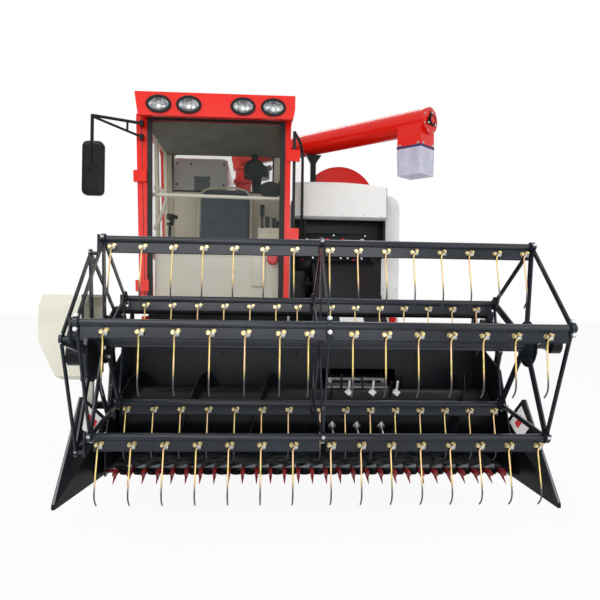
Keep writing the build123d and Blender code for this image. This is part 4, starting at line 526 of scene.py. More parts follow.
def shift(x=0.0, y=0.0, z=0.0):
    """A move along the axes."""
    return Matrix.Translation((x, y, z))


def repeat(piece, matrices):
    """Copies of one model at several places. The model itself is taken away."""
    twins = [copy_of(piece, matrix) for matrix in matrices]
    bpy.data.objects.remove(piece)
    return twins


def gather(pieces):
    """Joins pieces into one."""
    deselect()
    for piece in pieces:
        piece.select_set(True)
    bpy.context.view_layer.objects.active = pieces[0]
    if len(pieces) > 1:
        bpy.ops.object.join()
    return bpy.context.view_layer.objects.active


def present(piece, name, finish, body="chassis"):
    """Names a finished piece, or a list of them joined, gives it its finish and sets it on its body."""
    if isinstance(piece, list):
        piece = gather(piece)
    piece.name = name
    piece.data.name = name
    piece.data.materials.clear()
    piece.data.materials.append(finish)
    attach(piece, body)
    return piece


def wire(points, radius, sides=8):
    """A round wire through points, as a mesh: a curve with a bevel, converted."""
    line = bpy.data.curves.new("wire", "CURVE")
    line.dimensions = "3D"
    line.bevel_depth = radius
    line.bevel_resolution = max(1, sides // 4)
    line.resolution_u = 4
    line.use_fill_caps = True
    run = line.splines.new("NURBS")
    run.points.add(len(points) - 1)
    for point, place in zip(run.points, points):
        point.co = (*place, 1.0)
    run.order_u = 3
    run.use_endpoint_u = True
    piece = bpy.data.objects.new("wire", line)
    bpy.context.scene.collection.objects.link(piece)
    focus(piece)
    bpy.ops.object.convert(target="MESH")
    piece = bpy.context.object
    bpy.ops.object.shade_smooth_by_angle(angle=math.radians(50))
    return piece


def hex_bolt(centre, facing, across=0.016, head=0.008):
    """A hexagon head with a washer under it: centre is on the surface, facing points out of it."""
    centre, facing = Vector(centre), Vector(facing).normalized()
    washer = start_rod(centre, centre + facing * 0.0018, across * 0.62, sides=14)
    top = start_rod(centre + facing * 0.0018, centre + facing * head, across * 0.56, sides=6)
    return gather([round_edges(top, across * 0.06, segments=1), washer])


def bolts_at(places, facing, across, head):
    """Bolts of one size that all face the same way."""
    return [hex_bolt(place, facing, across, head) for place in places]


# Reel
def bat_angle(number):
    """How far round the reel a tine bar stands."""
    return math.radians(REEL_PHASE + 360 / REEL_BATS * number)


def bat_place(number):
    """Centre of one tine bar's tube."""
    angle = bat_angle(number)
    return REEL_AXIS + Vector((0, -math.cos(angle), math.sin(angle))) * REEL_RADIUS


def tine_places(number):
    """Where the tines of one bar stand along the reel."""
    runs = TINE_RUNS[TINE_RUN_OF_BAR[number]]
    return [shift(HEADER_X + first + step * pitch) for first, pitch, count in runs for step in range(count)]


def spring_tine(reach):
    """One tine below a tube at the origin: hooked over its bolt, leaning ahead by reach and curling back."""
    hook = [(0.012, -0.010, -0.022), (0.018, -0.014, -0.034), (0.008, -0.016, -0.046), (0.0, -0.014, -0.052)]
    lean = ((0.27, -0.075), (0.5, -0.120), (0.78, -0.180), (1.0, -0.232))
    run = [(0.0, -reach * share, z) for share, z in lean]
    tip = [(0.0, 0.002 - reach, -0.262), (0.0, 0.017 - reach, -0.286), (0.0, 0.037 - reach, -0.302)]
    tine = wire(hook + run + tip, 0.0038, sides=8)
    fall = tine.data.attributes.new("fall", "FLOAT", "POINT")
    for point, vertex in zip(fall.data, tine.data.vertices):
        point.value = min(1.0, max(0.0, -vertex.co.z / 0.302))
    return tine


def tine_clip():
    """The bolt that holds a tine and the end of its coil beside it."""
    bolt = hex_bolt((-0.006, -0.003, -0.036), (0, -1, 0), across=0.017, head=0.015)
    end = hex_bolt((0.017, -0.003, -0.030), (0, -1, 0), across=0.016, head=0.018)
    return gather([bolt, end])


def tine_coil():
    """The spring coil between a tine's bolt and its wire."""
    turns = []
    for step in range(25):
        angle = math.radians(step * 45)
        turns.append((
            0.004 + step * 0.0007, -0.012 + 0.008 * math.sin(angle), -0.044 + 0.008 * math.cos(angle)))
    return wire(turns, 0.0026, sides=4)


def bat_rail():
    """One tine bar's tube, plates and crank, about a tube at the origin."""
    tube = start_rod((HEADER_X + CRANK_PLANE, 0, 0), (HEADER_X + 1.068, 0, 0), BAT_TUBE_RADIUS, sides=28)
    round_edges(tube, 0.002)
    parts = [tube]
    # plate: first x, last x
    for first, last in ((-1.034, -0.016), (0.016, 1.034)):
        plate = start_block((HEADER_X + first, -0.003, -BAT_PLATE_DROP), (HEADER_X + last, 0.003, -0.010))
        parts.append(round_edges(plate, 0.0012, segments=1))
        lip = start_block(
            (HEADER_X + first, -0.003, -BAT_PLATE_DROP), (HEADER_X + last, 0.012, -BAT_PLATE_DROP + 0.004))
        parts.append(round_edges(lip, 0.001, segments=1))
    plate_x, crank_x = HEADER_X + CRANK_PLANE, HEADER_X + ECCENTRIC_PLANE
    arm = start_block((plate_x - 0.004, -0.018, -CRANK_DROP - 0.018), (plate_x + 0.004, 0.018, 0.022))
    parts.append(round_edges(arm, 0.003))
    pin = start_rod((crank_x - 0.010, 0, -CRANK_DROP), (plate_x, 0, -CRANK_DROP), 0.009, sides=20)
    parts.append(round_edges(pin, 0.001, segments=1))
    return gather(parts)


def make_bats():
    """The five tine bars: rails, tines, the tines' bolts and coils."""
    rail = bat_rail()
    foremost, tine = spring_tine(FOREMOST_REACH), spring_tine(TINE_REACH)
    models = (("tines", tine, ZINC), ("tine_bolts", tine_clip(), PALE_ZINC), ("coils", tine_coil(), STEEL))
    for number in range(REEL_BATS):
        name = f"tine_bar_{number + 1}"
        place = shift(*bat_place(number))
        body = present(copy_of(rail, place), f"bar_{number + 1}", REEL_BLACK, name)
        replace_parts(body, f"bat_{number + 1}")
        for kind, model, finish in models:
            # the foremost bar's tines lean less, within the reel's own reach
            shape = foremost if kind == "tines" and number == 0 else model
            copies = [copy_of(shape, place @ along) for along in tine_places(number)]
            present(copies, f"{kind}_{number + 1}", finish, name)
    for model in [rail, foremost] + [entry[1] for entry in models]:
        bpy.data.objects.remove(model)


def make_reel_trim():
    """Clamps that hold the bars' bearings on the spiders, and the spiders' hub plates."""
    saddle = soft_block((-0.011, -0.0085, -0.040), (0.011, 0.0010, 0.040), 0.003)
    nuts = gather(bolts_at([(0, -0.0085, z) for z in (-0.029, 0.029)], AHEAD, 0.017, 0.0095))
    places, small = [], []
    for number in range(REEL_BATS):
        turn = Matrix.Rotation(-bat_angle(number), 4, "X")
        places += [shift(*bat_place(number)) @ shift(HEADER_X + plane) @ turn for plane in SPIDER_PLANES]
        low = shift(*bat_place(number)) @ shift(HEADER_X + ECCENTRIC_PLANE, 0, -CRANK_DROP)
        small.append(low @ turn @ Matrix.Scale(0.55, 4))
    present(repeat(saddle, places), "clamp_saddles", REEL_BLACK, "reel")
    ring_nuts = copy_of(nuts, Matrix())
    present(repeat(nuts, places), "clamp_nuts", STEEL, "reel")
    present(repeat(ring_nuts, small), "eccentric_nuts", STEEL, "eccentric_spider")
    hubs = []
    for plane in (-1.046, 1.054):
        x = HEADER_X + plane
        hub = start_rod((x, *REEL_AXIS.yz), (x + 0.006, *REEL_AXIS.yz), 0.118, 40)
        pick(hub, toward("x", 1))
        inset(0.012)
        draw_out((0.005, 0, 0))
        inset(0.038)
        draw_out((-0.004, 0, 0))
        hubs.append(round_edges(close(hub), 0.001, 1))
    present(hubs, "hub_plates", BLACK, "reel")
    bolts = []
    for plane in (-1.035, 1.065):
        for number in range(REEL_BATS):
            angle = bat_angle(number + 0.5)
            around = Vector((0, -math.cos(angle), math.sin(angle))) * HUB_BOLT_CIRCLE
            centre = REEL_AXIS + Vector((HEADER_X + plane, 0, 0)) + around
            bolts.append(hex_bolt(centre, (1, 0, 0), 0.018, 0.010))
    present(bolts, "hub_bolts", STEEL, "reel")


make_bats()
make_reel_trim()


# Cab
def make_lamps():
    """Four oval work lamps in the visor: rim, faceted bowl, bulb, bulb shade and lens."""
    rim = oval(0.001, 0.013, (0.089, 0.063), 40)
    pick(rim, toward("z", -1))
    inset(0.008)
    draw_out((0, 0, -0.024))
    close(rim)
    pick(rim, toward("z", 1))
    inset(0.018)
    draw_out((0, 0, -0.030))
    round_edges(close(rim), 0.0015, 2)
    bowl = oval(-0.0165, 0.003, (0.0715, 0.0455), 22)
    pick(bowl, toward("z", 1))
    inset(0.002)
    for depth, narrow in ((-0.006, 0.88), (-0.007, 0.78), (-0.006, 0.60), (-0.003, 0.42)):
        draw_out((0, 0, depth), (narrow, narrow, 1))
    bpy.ops.object.mode_set(mode="OBJECT")
    bulb = start_rod((0, -0.014, -0.014), (0, -0.014, 0.004), 0.0165, 16)
    round_edges(bulb, 0.005, 3)
    shade = soft_block((-0.016, 0.026, -0.012), (0.016, 0.052, 0.006), 0.003)
    lens = oval(0.0065, 0.0085, (0.0785, 0.0525), 40)
    pick(lens, toward("z", 1))
    inset(0.012)
    draw_out((0, 0, 0.0015), (0.9, 0.9, 1))
    close(lens)
    seats = []
    for x in LAMP_XS:
        seats.append(shift(x, VISOR_Y + 0.007, LAMP_Z) @ Matrix.Rotation(LAMP_TILT, 4, "X"))
    body = present(repeat(rim, seats), "lamp_rims", BLACK_PLASTIC)
    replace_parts(body, "work_lamps")
    for piece, name, finish in (
            (bowl, "lamp_bowls", REFLECTOR), (bulb, "lamp_bulbs", BULB_WHITE),
            (shade, "lamp_shades", BLACK_PLASTIC), (lens, "lamp_lenses", LENS)):
        present(repeat(piece, seats), name, finish)


def make_windscreen_seal():
    """Black rubber seal round the windscreen, wider at its head."""
    seal = start_block((-0.974, -0.571, 1.108), (0.028, -0.5605, 2.537))
    for vertex in seal.data.vertices:
        if vertex.co.x < -0.5:
            vertex.co.x = -0.984 if vertex.co.z > 2 else -0.964
    round_edges(open_frame(seal, "y", 0.038), 0.004, 2)
    present(seal, "windscreen_seal", SEAL_RUBBER)
    rear = open_frame(start_block((-0.962, 0.529, 2.166), (-0.038, 0.5395, 2.524)), "y", 0.014)
    present(round_edges(rear, 0.003, 2), "rear_window_seal", SEAL_RUBBER)


SLANT = math.atan2(CAB_RIGHT_X - CAB_RIGHT_TOP_X, CAB_SIDE_HEIGHT)
ON_RIGHT = shift(CAB_RIGHT_X, 0, CAB_SILL_Z) @ Matrix.Rotation(-SLANT, 4, "Y")


def right_strip(low, high, width=0.003, segments=2):
    """A rounded strip on the cab's leaning right side: x inwards from the side, height from the sill."""
    strip = soft_block(low, high, width, segments)
    strip.data.transform(ON_RIGHT)
    return strip


def make_side_window():
    """The hinged side window: a thin black seal round one pane, a handle and red hinge straps."""
    hinge_x, hinge_y = WINDOW_HINGE
    swing = shift(hinge_x, hinge_y) @ Matrix.Rotation(-WINDOW_OPEN, 4, "Z") @ shift(-hinge_x, -hinge_y)
    pane_block = start_block((0.092, -0.553, 1.540), (0.098, -0.081, 2.452))
    rim = start_block((0.084, -0.556, 1.536), (0.106, -0.078, 2.455))
    for leaf in (pane_block, rim):
        pick_edges(leaf, lambda a, b: min(a.y, b.y) > -0.1 and min(a.z, b.z) > 2.4)
        bpy.ops.mesh.bevel(offset=0.15, segments=8, affect="EDGES")
        close(leaf)
    open_frame(rim, "x", 0.014)
    round_edges(rim, 0.003, 2)
    straps = []
    for level in (1.645, 2.225):
        straps.append(soft_rod((*WINDOW_HINGE, level + 0.0145), (*WINDOW_HINGE, level + 0.0695), 0.0095))
        straps.append(soft_block((0.104, -0.556, level + 0.016), (0.122, -0.548, level + 0.068), 0.002))
    pull = soft_block((0.106, -0.112, 1.690), (0.136, -0.096, 1.860), 0.005, 3)
    for piece in [pane_block, rim, pull] + straps:
        piece.data.transform(swing)
    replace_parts(present(pane_block, "side_pane", GLASS, "side_window"), "window_glass")
    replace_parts(present(rim, "side_window_seal", SEAL_RUBBER, "side_window"), "window_frame")
    present(pull, "side_window_handle", BLACK_PLASTIC, "side_window")
    present(straps, "side_window_hinges", RED, "side_window")


def make_cab_lining():
    """Roof lining, trim on the rear pillar and the door, and the cream front panel under the windscreen."""
    lining = start_block((-1.016, -0.508, 2.499), (0.019, 0.539, 2.5085))
    pick(lining, toward("z", -1))
    inset(0.05, -0.004)
    inset(0.02, 0.003)
    present(close(lining), "roof_lining", OLIVE_LINING)
    trims = [
        right_strip((-0.008, 0.531, 0.064), (0.049, 0.5395, 1.410), 0.002),
        right_strip((0.0505, 0.50, 0.064), (0.0575, 0.545, 1.410), 0.002),
    ]
    present(trims, "rear_pillar_trim", BEIGE)
    panels = []
    # flat strips of the door: y from and to, height from and to
    for y0, y1, z0, z1 in (
            (-0.540, -0.516, 0.03, 1.43), (0.530, 0.560, 0.03, 1.36), (-0.52, 0.535, 0.03, 0.057),
            (-0.52, 0.535, 0.432, 0.468), (-0.52, 0.47, 1.425, 1.452)):
        panels.append(right_strip((-0.0069, y0, z0), (-0.0052, y1, z1), 0.0004, 1))
    # stiles of the door's sliding window: place along the door and width
    for y, width in ((-0.47, 0.030), (-0.025, 0.050), (0.455, 0.030)):
        panels.append(right_strip((-0.0069, y, 0.458), (0.0240, y + width, 1.435)))
    for z in (0.452, 1.412):
        panels.append(right_strip((-0.0069, -0.52, z), (0.0125, 0.50, z + 0.022)))
    present(panels, "door_lining", BEIGE, "door")
    front = start_block((-0.921, -0.514, 1.150), (0.016, -0.503, 1.540))
    pick(front, toward("y", -1))
    inset(0.022)
    inset(0.003, -0.003)
    round_edges(close(front), 0.002, 2)
    sill = soft_block((-0.921, -0.516, 1.538), (0.016, -0.470, 1.549), 0.003)
    post = soft_block((-0.207, -0.527, 1.294), (-0.107, -0.514, 1.517), 0.008, 3)
    present([front, sill, post], "front_panel", CREAM)
    knob = start_rod((-0.053, -0.514, 1.503), (-0.053, -0.540, 1.503), 0.044, 28)
    pick(knob, toward("y", -1))
    draw_out((0, -0.008, 0), (0.75, 1, 0.75), (-0.053, -0.548, 1.503))
    round_edges(close(knob), 0.004, 3)
    present(knob, "stop_knob", KNOB_RED)


def make_cab_fittings():
    """Grab bar, door handle, fan, round mirror, levers and joystick."""
    bar = wire([
        (-0.955, -0.500, 1.966), (-0.60, -0.500, 1.963), (-0.20, -0.500, 1.958), (0.017, -0.500, 1.955)],
        0.0135, 12)
    feet = [soft_rod((-0.958, -0.500, 1.966), (-0.950, -0.500, 1.966), 0.024),
            soft_rod((0.011, -0.500, 1.955), (0.019, -0.500, 1.955), 0.024)]
    present([bar] + feet, "grab_bar", CREAM)
    handle = wire([(-0.992, -0.20, 2.07), (-0.940, -0.20, 2.06), (-0.890, -0.20, 2.01), (-0.905, -0.20, 1.93),
                   (-0.950, -0.20, 1.80), (-0.985, -0.20, 1.74)], 0.016, 12)
    present(handle, "door_grab_handle", CREAM, "door")
    shell = start_rod((-0.214, 0.395, 2.352), (-0.214, 0.440, 2.352), 0.097, 36, tip=0.060)
    pick(shell, toward("y", -1))
    draw_out((0, -0.010, 0), (0.93, 1, 0.93), (-0.214, 0.385, 2.352))
    inset(0.012)
    draw_out((0, -0.008, 0), (0.82, 1, 0.82), (-0.214, 0.377, 2.352))
    inset(0.030, -0.003)
    round_edges(close(shell), 0.003, 2, 20)
    bracket = soft_block((-0.245, 0.430, 2.40), (-0.183, 0.450, 2.505), 0.004)
    second = start_rod((-0.077, -0.45, 2.030), (-0.077, -0.41, 2.030), 0.066, 32, tip=0.045)
    widen = Matrix.Diagonal((1.30, 1, 1, 1))
    second.data.transform(shift(-0.077, 0, 2.030) @ widen @ shift(0.077, 0, -2.030))
    pick(second, toward("y", -1))
    draw_out((0, -0.010, 0), (0.88, 1, 0.88), (-0.077, -0.46, 2.030))
    inset(0.014, -0.002)
    round_edges(close(second), 0.004, 3, 20)
    arm = wire([
        (-0.077, -0.415, 2.030), (-0.03, -0.39, 2.06), (0.010, -0.39, 2.12), (0.016, -0.40, 2.20)], 0.009, 8)
    present([shell, bracket, second, arm], "fan_and_mirror", BLACK_PLASTIC)
    levers = []
    # lever position: x, y, top z
    for x, y, top in (
            (-0.135, -0.290, 1.935), (-0.095, -0.230, 1.850),
            (-0.040, -0.230, 1.840), (-0.015, -0.120, 1.830)):
        levers.append(soft_rod((x, y, 1.722), (x, y - 0.018, top - 0.079), 0.0098))
        boot = start_rod((x, y, 1.735), (x, y - 0.004, 1.768), 0.026, 20, tip=0.012)
        levers.append(round_edges(boot, 0.003))
        grip = start_rod((x, y - 0.0178, top - 0.088), (x, y - 0.0243, top + 0.003), 0.0185, 20)
        levers.append(round_edges(grip, 0.007, 3))
    stick = start_rod((-0.860, -0.220, 1.770), (-0.852, -0.224, 1.850), 0.026, 20, tip=0.036)
    pick(stick, toward("z", 1))
    draw_out((0.002, 0, 0.012), (0.72, 0.72, 1), (-0.850, -0.224, 1.862))
    round_edges(close(stick), 0.006, 3, 20)
    thumb = soft_block((-0.828, -0.250, 1.822), (-0.800, -0.205, 1.850), 0.006, 3)
    sleeve = soft_rod((-0.860, -0.220, 1.605), (-0.860, -0.220, 1.775), 0.0125)
    boot = start_rod((-0.860, -0.220, 1.611), (-0.860, -0.220, 1.665), 0.050, 24, tip=0.018)
    pick(boot, toward("z", 1))
    draw_out((0, 0, 0.004), (0.8, 0.8, 1), (-0.860, -0.220, 1.669))
    levers += [stick, thumb, sleeve, close(boot)]
    for x in (-0.775, -0.745, -0.715):
        levers.append(soft_rod((x, -0.27, 1.609), (x, -0.275, 1.655), 0.009, tip=0.012))
    present(levers, "hand_levers", BLACK_PLASTIC)


def make_mirror():
    """Mirror's shell with a rolled rim, its tube down the front and the clamp that holds it."""
    shell = start_block((-1.4195, -0.6625, 1.9255), (-1.2695, -0.6135, 2.3125))
    pick_edges(shell, lambda a, b: abs(a.y - b.y) > 0.01)
    bpy.ops.mesh.bevel(offset=0.036, segments=6, affect="EDGES")
    close(shell)
    pick(shell, toward("y", -1))
    inset(0.016, 0.002)
    inset(0.010, 0.002)
    round_edges(close(shell), 0.003, 2, 20)
    tube = wire([
        (-1.358, -0.640, 2.312), (-1.358, -0.668, 2.300), (-1.358, -0.670, 2.26), (-1.358, -0.670, 2.12)],
        0.010, 12)
    clamp = soft_block((-1.374, -0.676, 2.105), (-1.342, -0.662, 2.150), 0.004, 2)
    present([shell, tube, clamp], "mirror_shell", BLACK_PLASTIC)
    glass = soft_block((-1.405, -0.6134, 1.945), (-1.285, -0.6115, 2.293), 0.0008, 1)
    present(glass, "mirror_face", BRIGHT_STEEL)


def make_seat():
    """Seat cushion and backrest, padded by a cloth simulation, with piping round the backrest."""
    cushions = []
    for number, (low, high, leans) in enumerate(SEAT_FORMS):
        pad = round_edges(start_block(low, high), 0.028, 4)
        if leans:
            pad.data.transform(shift(0, 0.430, 1.650) @ Matrix.Rotation(-math.atan(SEAT_BACK_SLOPE), 4, "X"))
        pad.name = f"pad_{number}"
        cushions.append(pad)
    for pad in cushions:
        focus(pad)
        remesh = pad.modifiers.new("mesh", "REMESH")
        remesh.mode = "VOXEL"
        remesh.voxel_size = PAD_VOXEL
        bpy.ops.object.modifier_apply(modifier="mesh")
        before = [vertex.co.copy() for vertex in pad.data.vertices]
        cloth = pad.modifiers.new("cloth", "CLOTH")
        cloth.settings.use_pressure = True
        cloth.settings.uniform_pressure_force = 4
        cloth.settings.effector_weights.gravity = 0
        cloth.settings.quality = 5
        for step in range(1, PAD_FRAMES + 1):
            bpy.context.scene.frame_set(step)
        bpy.ops.object.modifier_apply(modifier="cloth")
        bpy.context.scene.frame_set(1)
        for vertex, start in zip(pad.data.vertices, before):
            move = vertex.co - start
            if move.length > PAD_LIMIT:
                vertex.co = start + move * (PAD_LIMIT / move.length)
        bpy.ops.object.shade_smooth()
    piping = wire([
        (-0.700, 0.375, 1.66), (-0.704, 0.424, 2.03), (-0.690, 0.438, 2.145), (-0.62, 0.446, 2.190),
        (-0.47, 0.448, 2.199), (-0.32, 0.446, 2.190), (-0.250, 0.438, 2.145), (-0.236, 0.424, 2.03),
        (-0.240, 0.375, 1.66)], 0.010, 8)
    body = present(cushions[0], "seat_pad", SEAT_CLOTH)
    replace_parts(body, "seat_cushions")
    back = present(cushions[1], "back_pad", SEAT_CLOTH)
    present(piping, "seat_piping", BEIGE)


make_lamps()
make_windscreen_seal()
make_side_window()
make_cab_lining()
make_cab_fittings()
make_mirror()
make_seat()


# Body
BOOM = shift(*BOOM_PIVOT) @ Matrix.Rotation(BOOM_HEADING, 4, "Z")


def make_boom_trim():
    """The boom's end bearing, bolts, rigid conduit and clips, the spout's band and the vinyl curtain."""
    plate = start_rod((2.1882, 0, 0), (2.198, 0, 0), 0.078, 3)
    round_edges(plate, 0.010, 3, 60)
    housing = start_rod((2.196, 0, 0), (2.2135, 0, 0), 0.0395, 28)
    pick(housing, toward("x", 1))
    inset(0.010)
    draw_out((-0.006, 0, 0))
    round_edges(close(housing), 0.002, 2)
    bolts = []
    # ring of bolts: place along the boom, its radius, count, first angle, width and height of a head
    for x, radius, count, first, across, head in (
            (2.198, 0.057, 3, 90, 0.017, 0.010), (2.188, 0.096, 8, 22.5, 0.011, 0.006)):
        for turn in range(count):
            angle = math.radians(first + turn * 360 / count)
            place = (x, radius * math.cos(angle), radius * math.sin(angle))
            bolts.append(hex_bolt(place, (1, 0, 0), across, head))
    for y in (-0.0992, 0.0992):
        bolts += bolts_at([(x, y, -0.188) for x in (1.968, 2.137)], (0, y, 0), 0.016, 0.008)
    for y in (-0.070, 0.070):
        bolts.append(hex_bolt((1.9415, y, -0.188), (-1, 0, 0), 0.016, 0.008))
        bolts.append(hex_bolt((2.1640, y, -0.188), (1, 0, 0), 0.016, 0.008))
    clips = []
    for x in (0.72, 1.02, 1.32, 1.62, 1.90):
        clips.append(soft_block((x, 0.005, 0.094), (x + 0.022, 0.035, 0.1158), 0.003))
    conduit = soft_rod((0.612, 0.020, 0.1046), (2.056, 0.020, 0.1046), 0.0113, 16, width=0.002)
    ferrule = soft_rod((2.050, 0.020, 0.1040), (2.076, 0.020, 0.1040), 0.0118, width=0.003)
    band = open_frame(start_block((1.9385, -0.1022, -0.2165), (2.167, 0.1022, -0.199)), "z", 0.0033)
    collar = soft_rod((0.592, 0, 0), (0.606, 0, 0), 0.1005, 40, width=0.003)
    for parts, name, finish in (
            ([plate, housing], "boom_bearing", BLACK), (bolts, "boom_bolts", STEEL),
            (clips, "conduit_clips", STEEL), ([conduit, ferrule], "conduit_end", BLACK_PLASTIC),
            ([band], "spout_band", BAND_BLUE), ([collar], "boom_collar", RED)):
        piece = gather(parts)
        piece.data.transform(BOOM)
        present(piece, name, finish, "boom")
    curtain = start_block((1.941, -0.0998, SLEEVE_TOP - SLEEVE_LENGTH), (2.1645, 0.0998, SLEEVE_TOP))
    pick(curtain, lambda normal: abs(normal.z) > 0.9)
    bpy.ops.mesh.delete(type="ONLY_FACE")
    bpy.ops.mesh.select_all(action="SELECT")
    bpy.ops.mesh.subdivide(number_cuts=12)
    bpy.ops.object.mode_set(mode="OBJECT")
    for vertex in curtain.data.vertices:
        fall = (SLEEVE_TOP - vertex.co.z) / SLEEVE_LENGTH
        along = vertex.co.x * 21 + vertex.co.y * 27
        ripple = 0.0025 * fall * math.sin(along * 2.1) - 0.004 * fall
        side = Vector((vertex.co.x - 2.0528, vertex.co.y, 0)).normalized()
        vertex.co += side * ripple
    bpy.ops.object.shade_smooth()
    curtain.data.transform(BOOM)
    body = present(curtain, "curtain", CURTAIN_FILM, "boom")
    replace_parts(body, "spout_curtain")


def make_front_body():
    """Levers and knobs in the recess, the hood's seam and screws, the blank plates and the tank's vent."""
    dark = [
        soft_block((0.185, 0.140, 1.655), (0.765, 0.1595, 1.775), 0.004),
        soft_block((0.150, 0.150, 1.450), (0.800, 0.1595, 1.590), 0.004),
    ]
    rods, knobs = [], []
    # lever: its pivot, the end of its rod and its knob, all along X
    for x0, x1, knob in ((0.236, 0.397, 0.414), (0.722, 0.560, 0.543)):
        rods += [
            soft_rod((x0, 0.100, 1.711), (x1, 0.098, 1.712), 0.0085),
            soft_rod((x0, 0.104, 1.711), (x0, 0.142, 1.711), 0.012),
            soft_block((x0 - 0.016, 0.132, 1.690), (x0 + 0.016, 0.141, 1.732), 0.003),
        ]
        ball = start_rod((knob, 0.098, 1.700), (knob, 0.098, 1.726), 0.015, 20)
        knobs.append(round_edges(ball, 0.010, 4))
    for x in (0.204, 0.442, 0.648):
        button = start_rod((x, 0.151, 1.550), (x, 0.134, 1.550), 0.015, 20, tip=0.013)
        knobs.append(round_edges(button, 0.004, 2))
    rods += bolts_at([(x, 0.1505, 1.565) for x in (0.30, 0.36, 0.54, 0.60, 0.72)], AHEAD, 0.014, 0.007)
    screws = [(x, 0.1405, z) for x in (0.205, 0.475, 0.745) for z in (1.672, 1.758)]
    present(rods + bolts_at(screws, AHEAD, 0.012, 0.006), "recess_levers", STEEL)
    present(knobs, "recess_knobs", KNOB_RED)
    present(dark, "recess_plates", BLACK)
    # The white hood's lip is given grey: painted shade of its underside return.
    lip = soft_block((0.118, -0.0635, 1.866), (0.888, -0.040, 1.8775), 0.003)
    present(lip, "hood_lip_painted_shade", GREY_AND_PAINTED_LIGHT)
    screws = [(x, -0.0575, 1.905) for x in (0.16, 0.34, 0.52, 0.70, 0.85)]
    present(bolts_at(screws, AHEAD, 0.011, 0.004), "hood_screws", STEEL)
    seam = soft_block((0.8905, -0.052, 1.876), (0.8945, 0.1525, 2.135), 0.001)
    present(seam, "hood_seam", SEAL_RUBBER)
    corners = ((0.972, 1.001), (1.020, 1.001), (1.035, 1.095), (0.957, 1.095))
    present(slab([(x, END_WALL_Y, z) for x, z in corners], 0.0012), "red_patch", RED)
    wall = [(x, END_WALL_Y, z) for x in (0.915, 1.022) for z in (0.80, 1.30, 1.66, 2.00)]
    present(bolts_at(wall, AHEAD, 0.013, 0.006), "end_wall_bolts", STEEL)
    plate = []
    for x, run in ((0.431, 0.0), (0.604, 0.0), (0.604, 0.10), (0.431, 0.10)):
        y = -0.795 + run * math.cos(math.atan(FEEDER_RISE))
        plate.append((x, y, FEEDER_TOP_Z + (y - FEEDER_TOP_Y) * FEEDER_RISE + 0.0012))
    present(slab(plate, 0.0015), "feeder_plate", PLATE_WHITE, "header")
    spots = ((-0.93, 2.44), (-0.80, 2.44), (-0.50, 2.44), (-0.93, 2.25), (-0.50, 2.25), (-0.52, 2.19))
    present(bolts_at([(x, TANK_FRONT_Y, z) for x, z in spots], AHEAD, 0.016, 0.008), "tank_bolts", IRON)
    vent = [
        soft_block((-0.768, 0.606, 2.150), (-0.628, TANK_FRONT_Y, 2.312), 0.004),
        soft_block((-0.776, 0.600, 2.312), (-0.620, TANK_FRONT_Y, 2.322), 0.003),
    ]
    for z in (2.17, 2.20, 2.23, 2.26, 2.29):
        vent.append(soft_block((-0.760, 0.600, z), (-0.636, 0.607, z + 0.010), 0.002))
    present(vent, "tank_vent", GREY_AND_PAINTED_LIGHT)


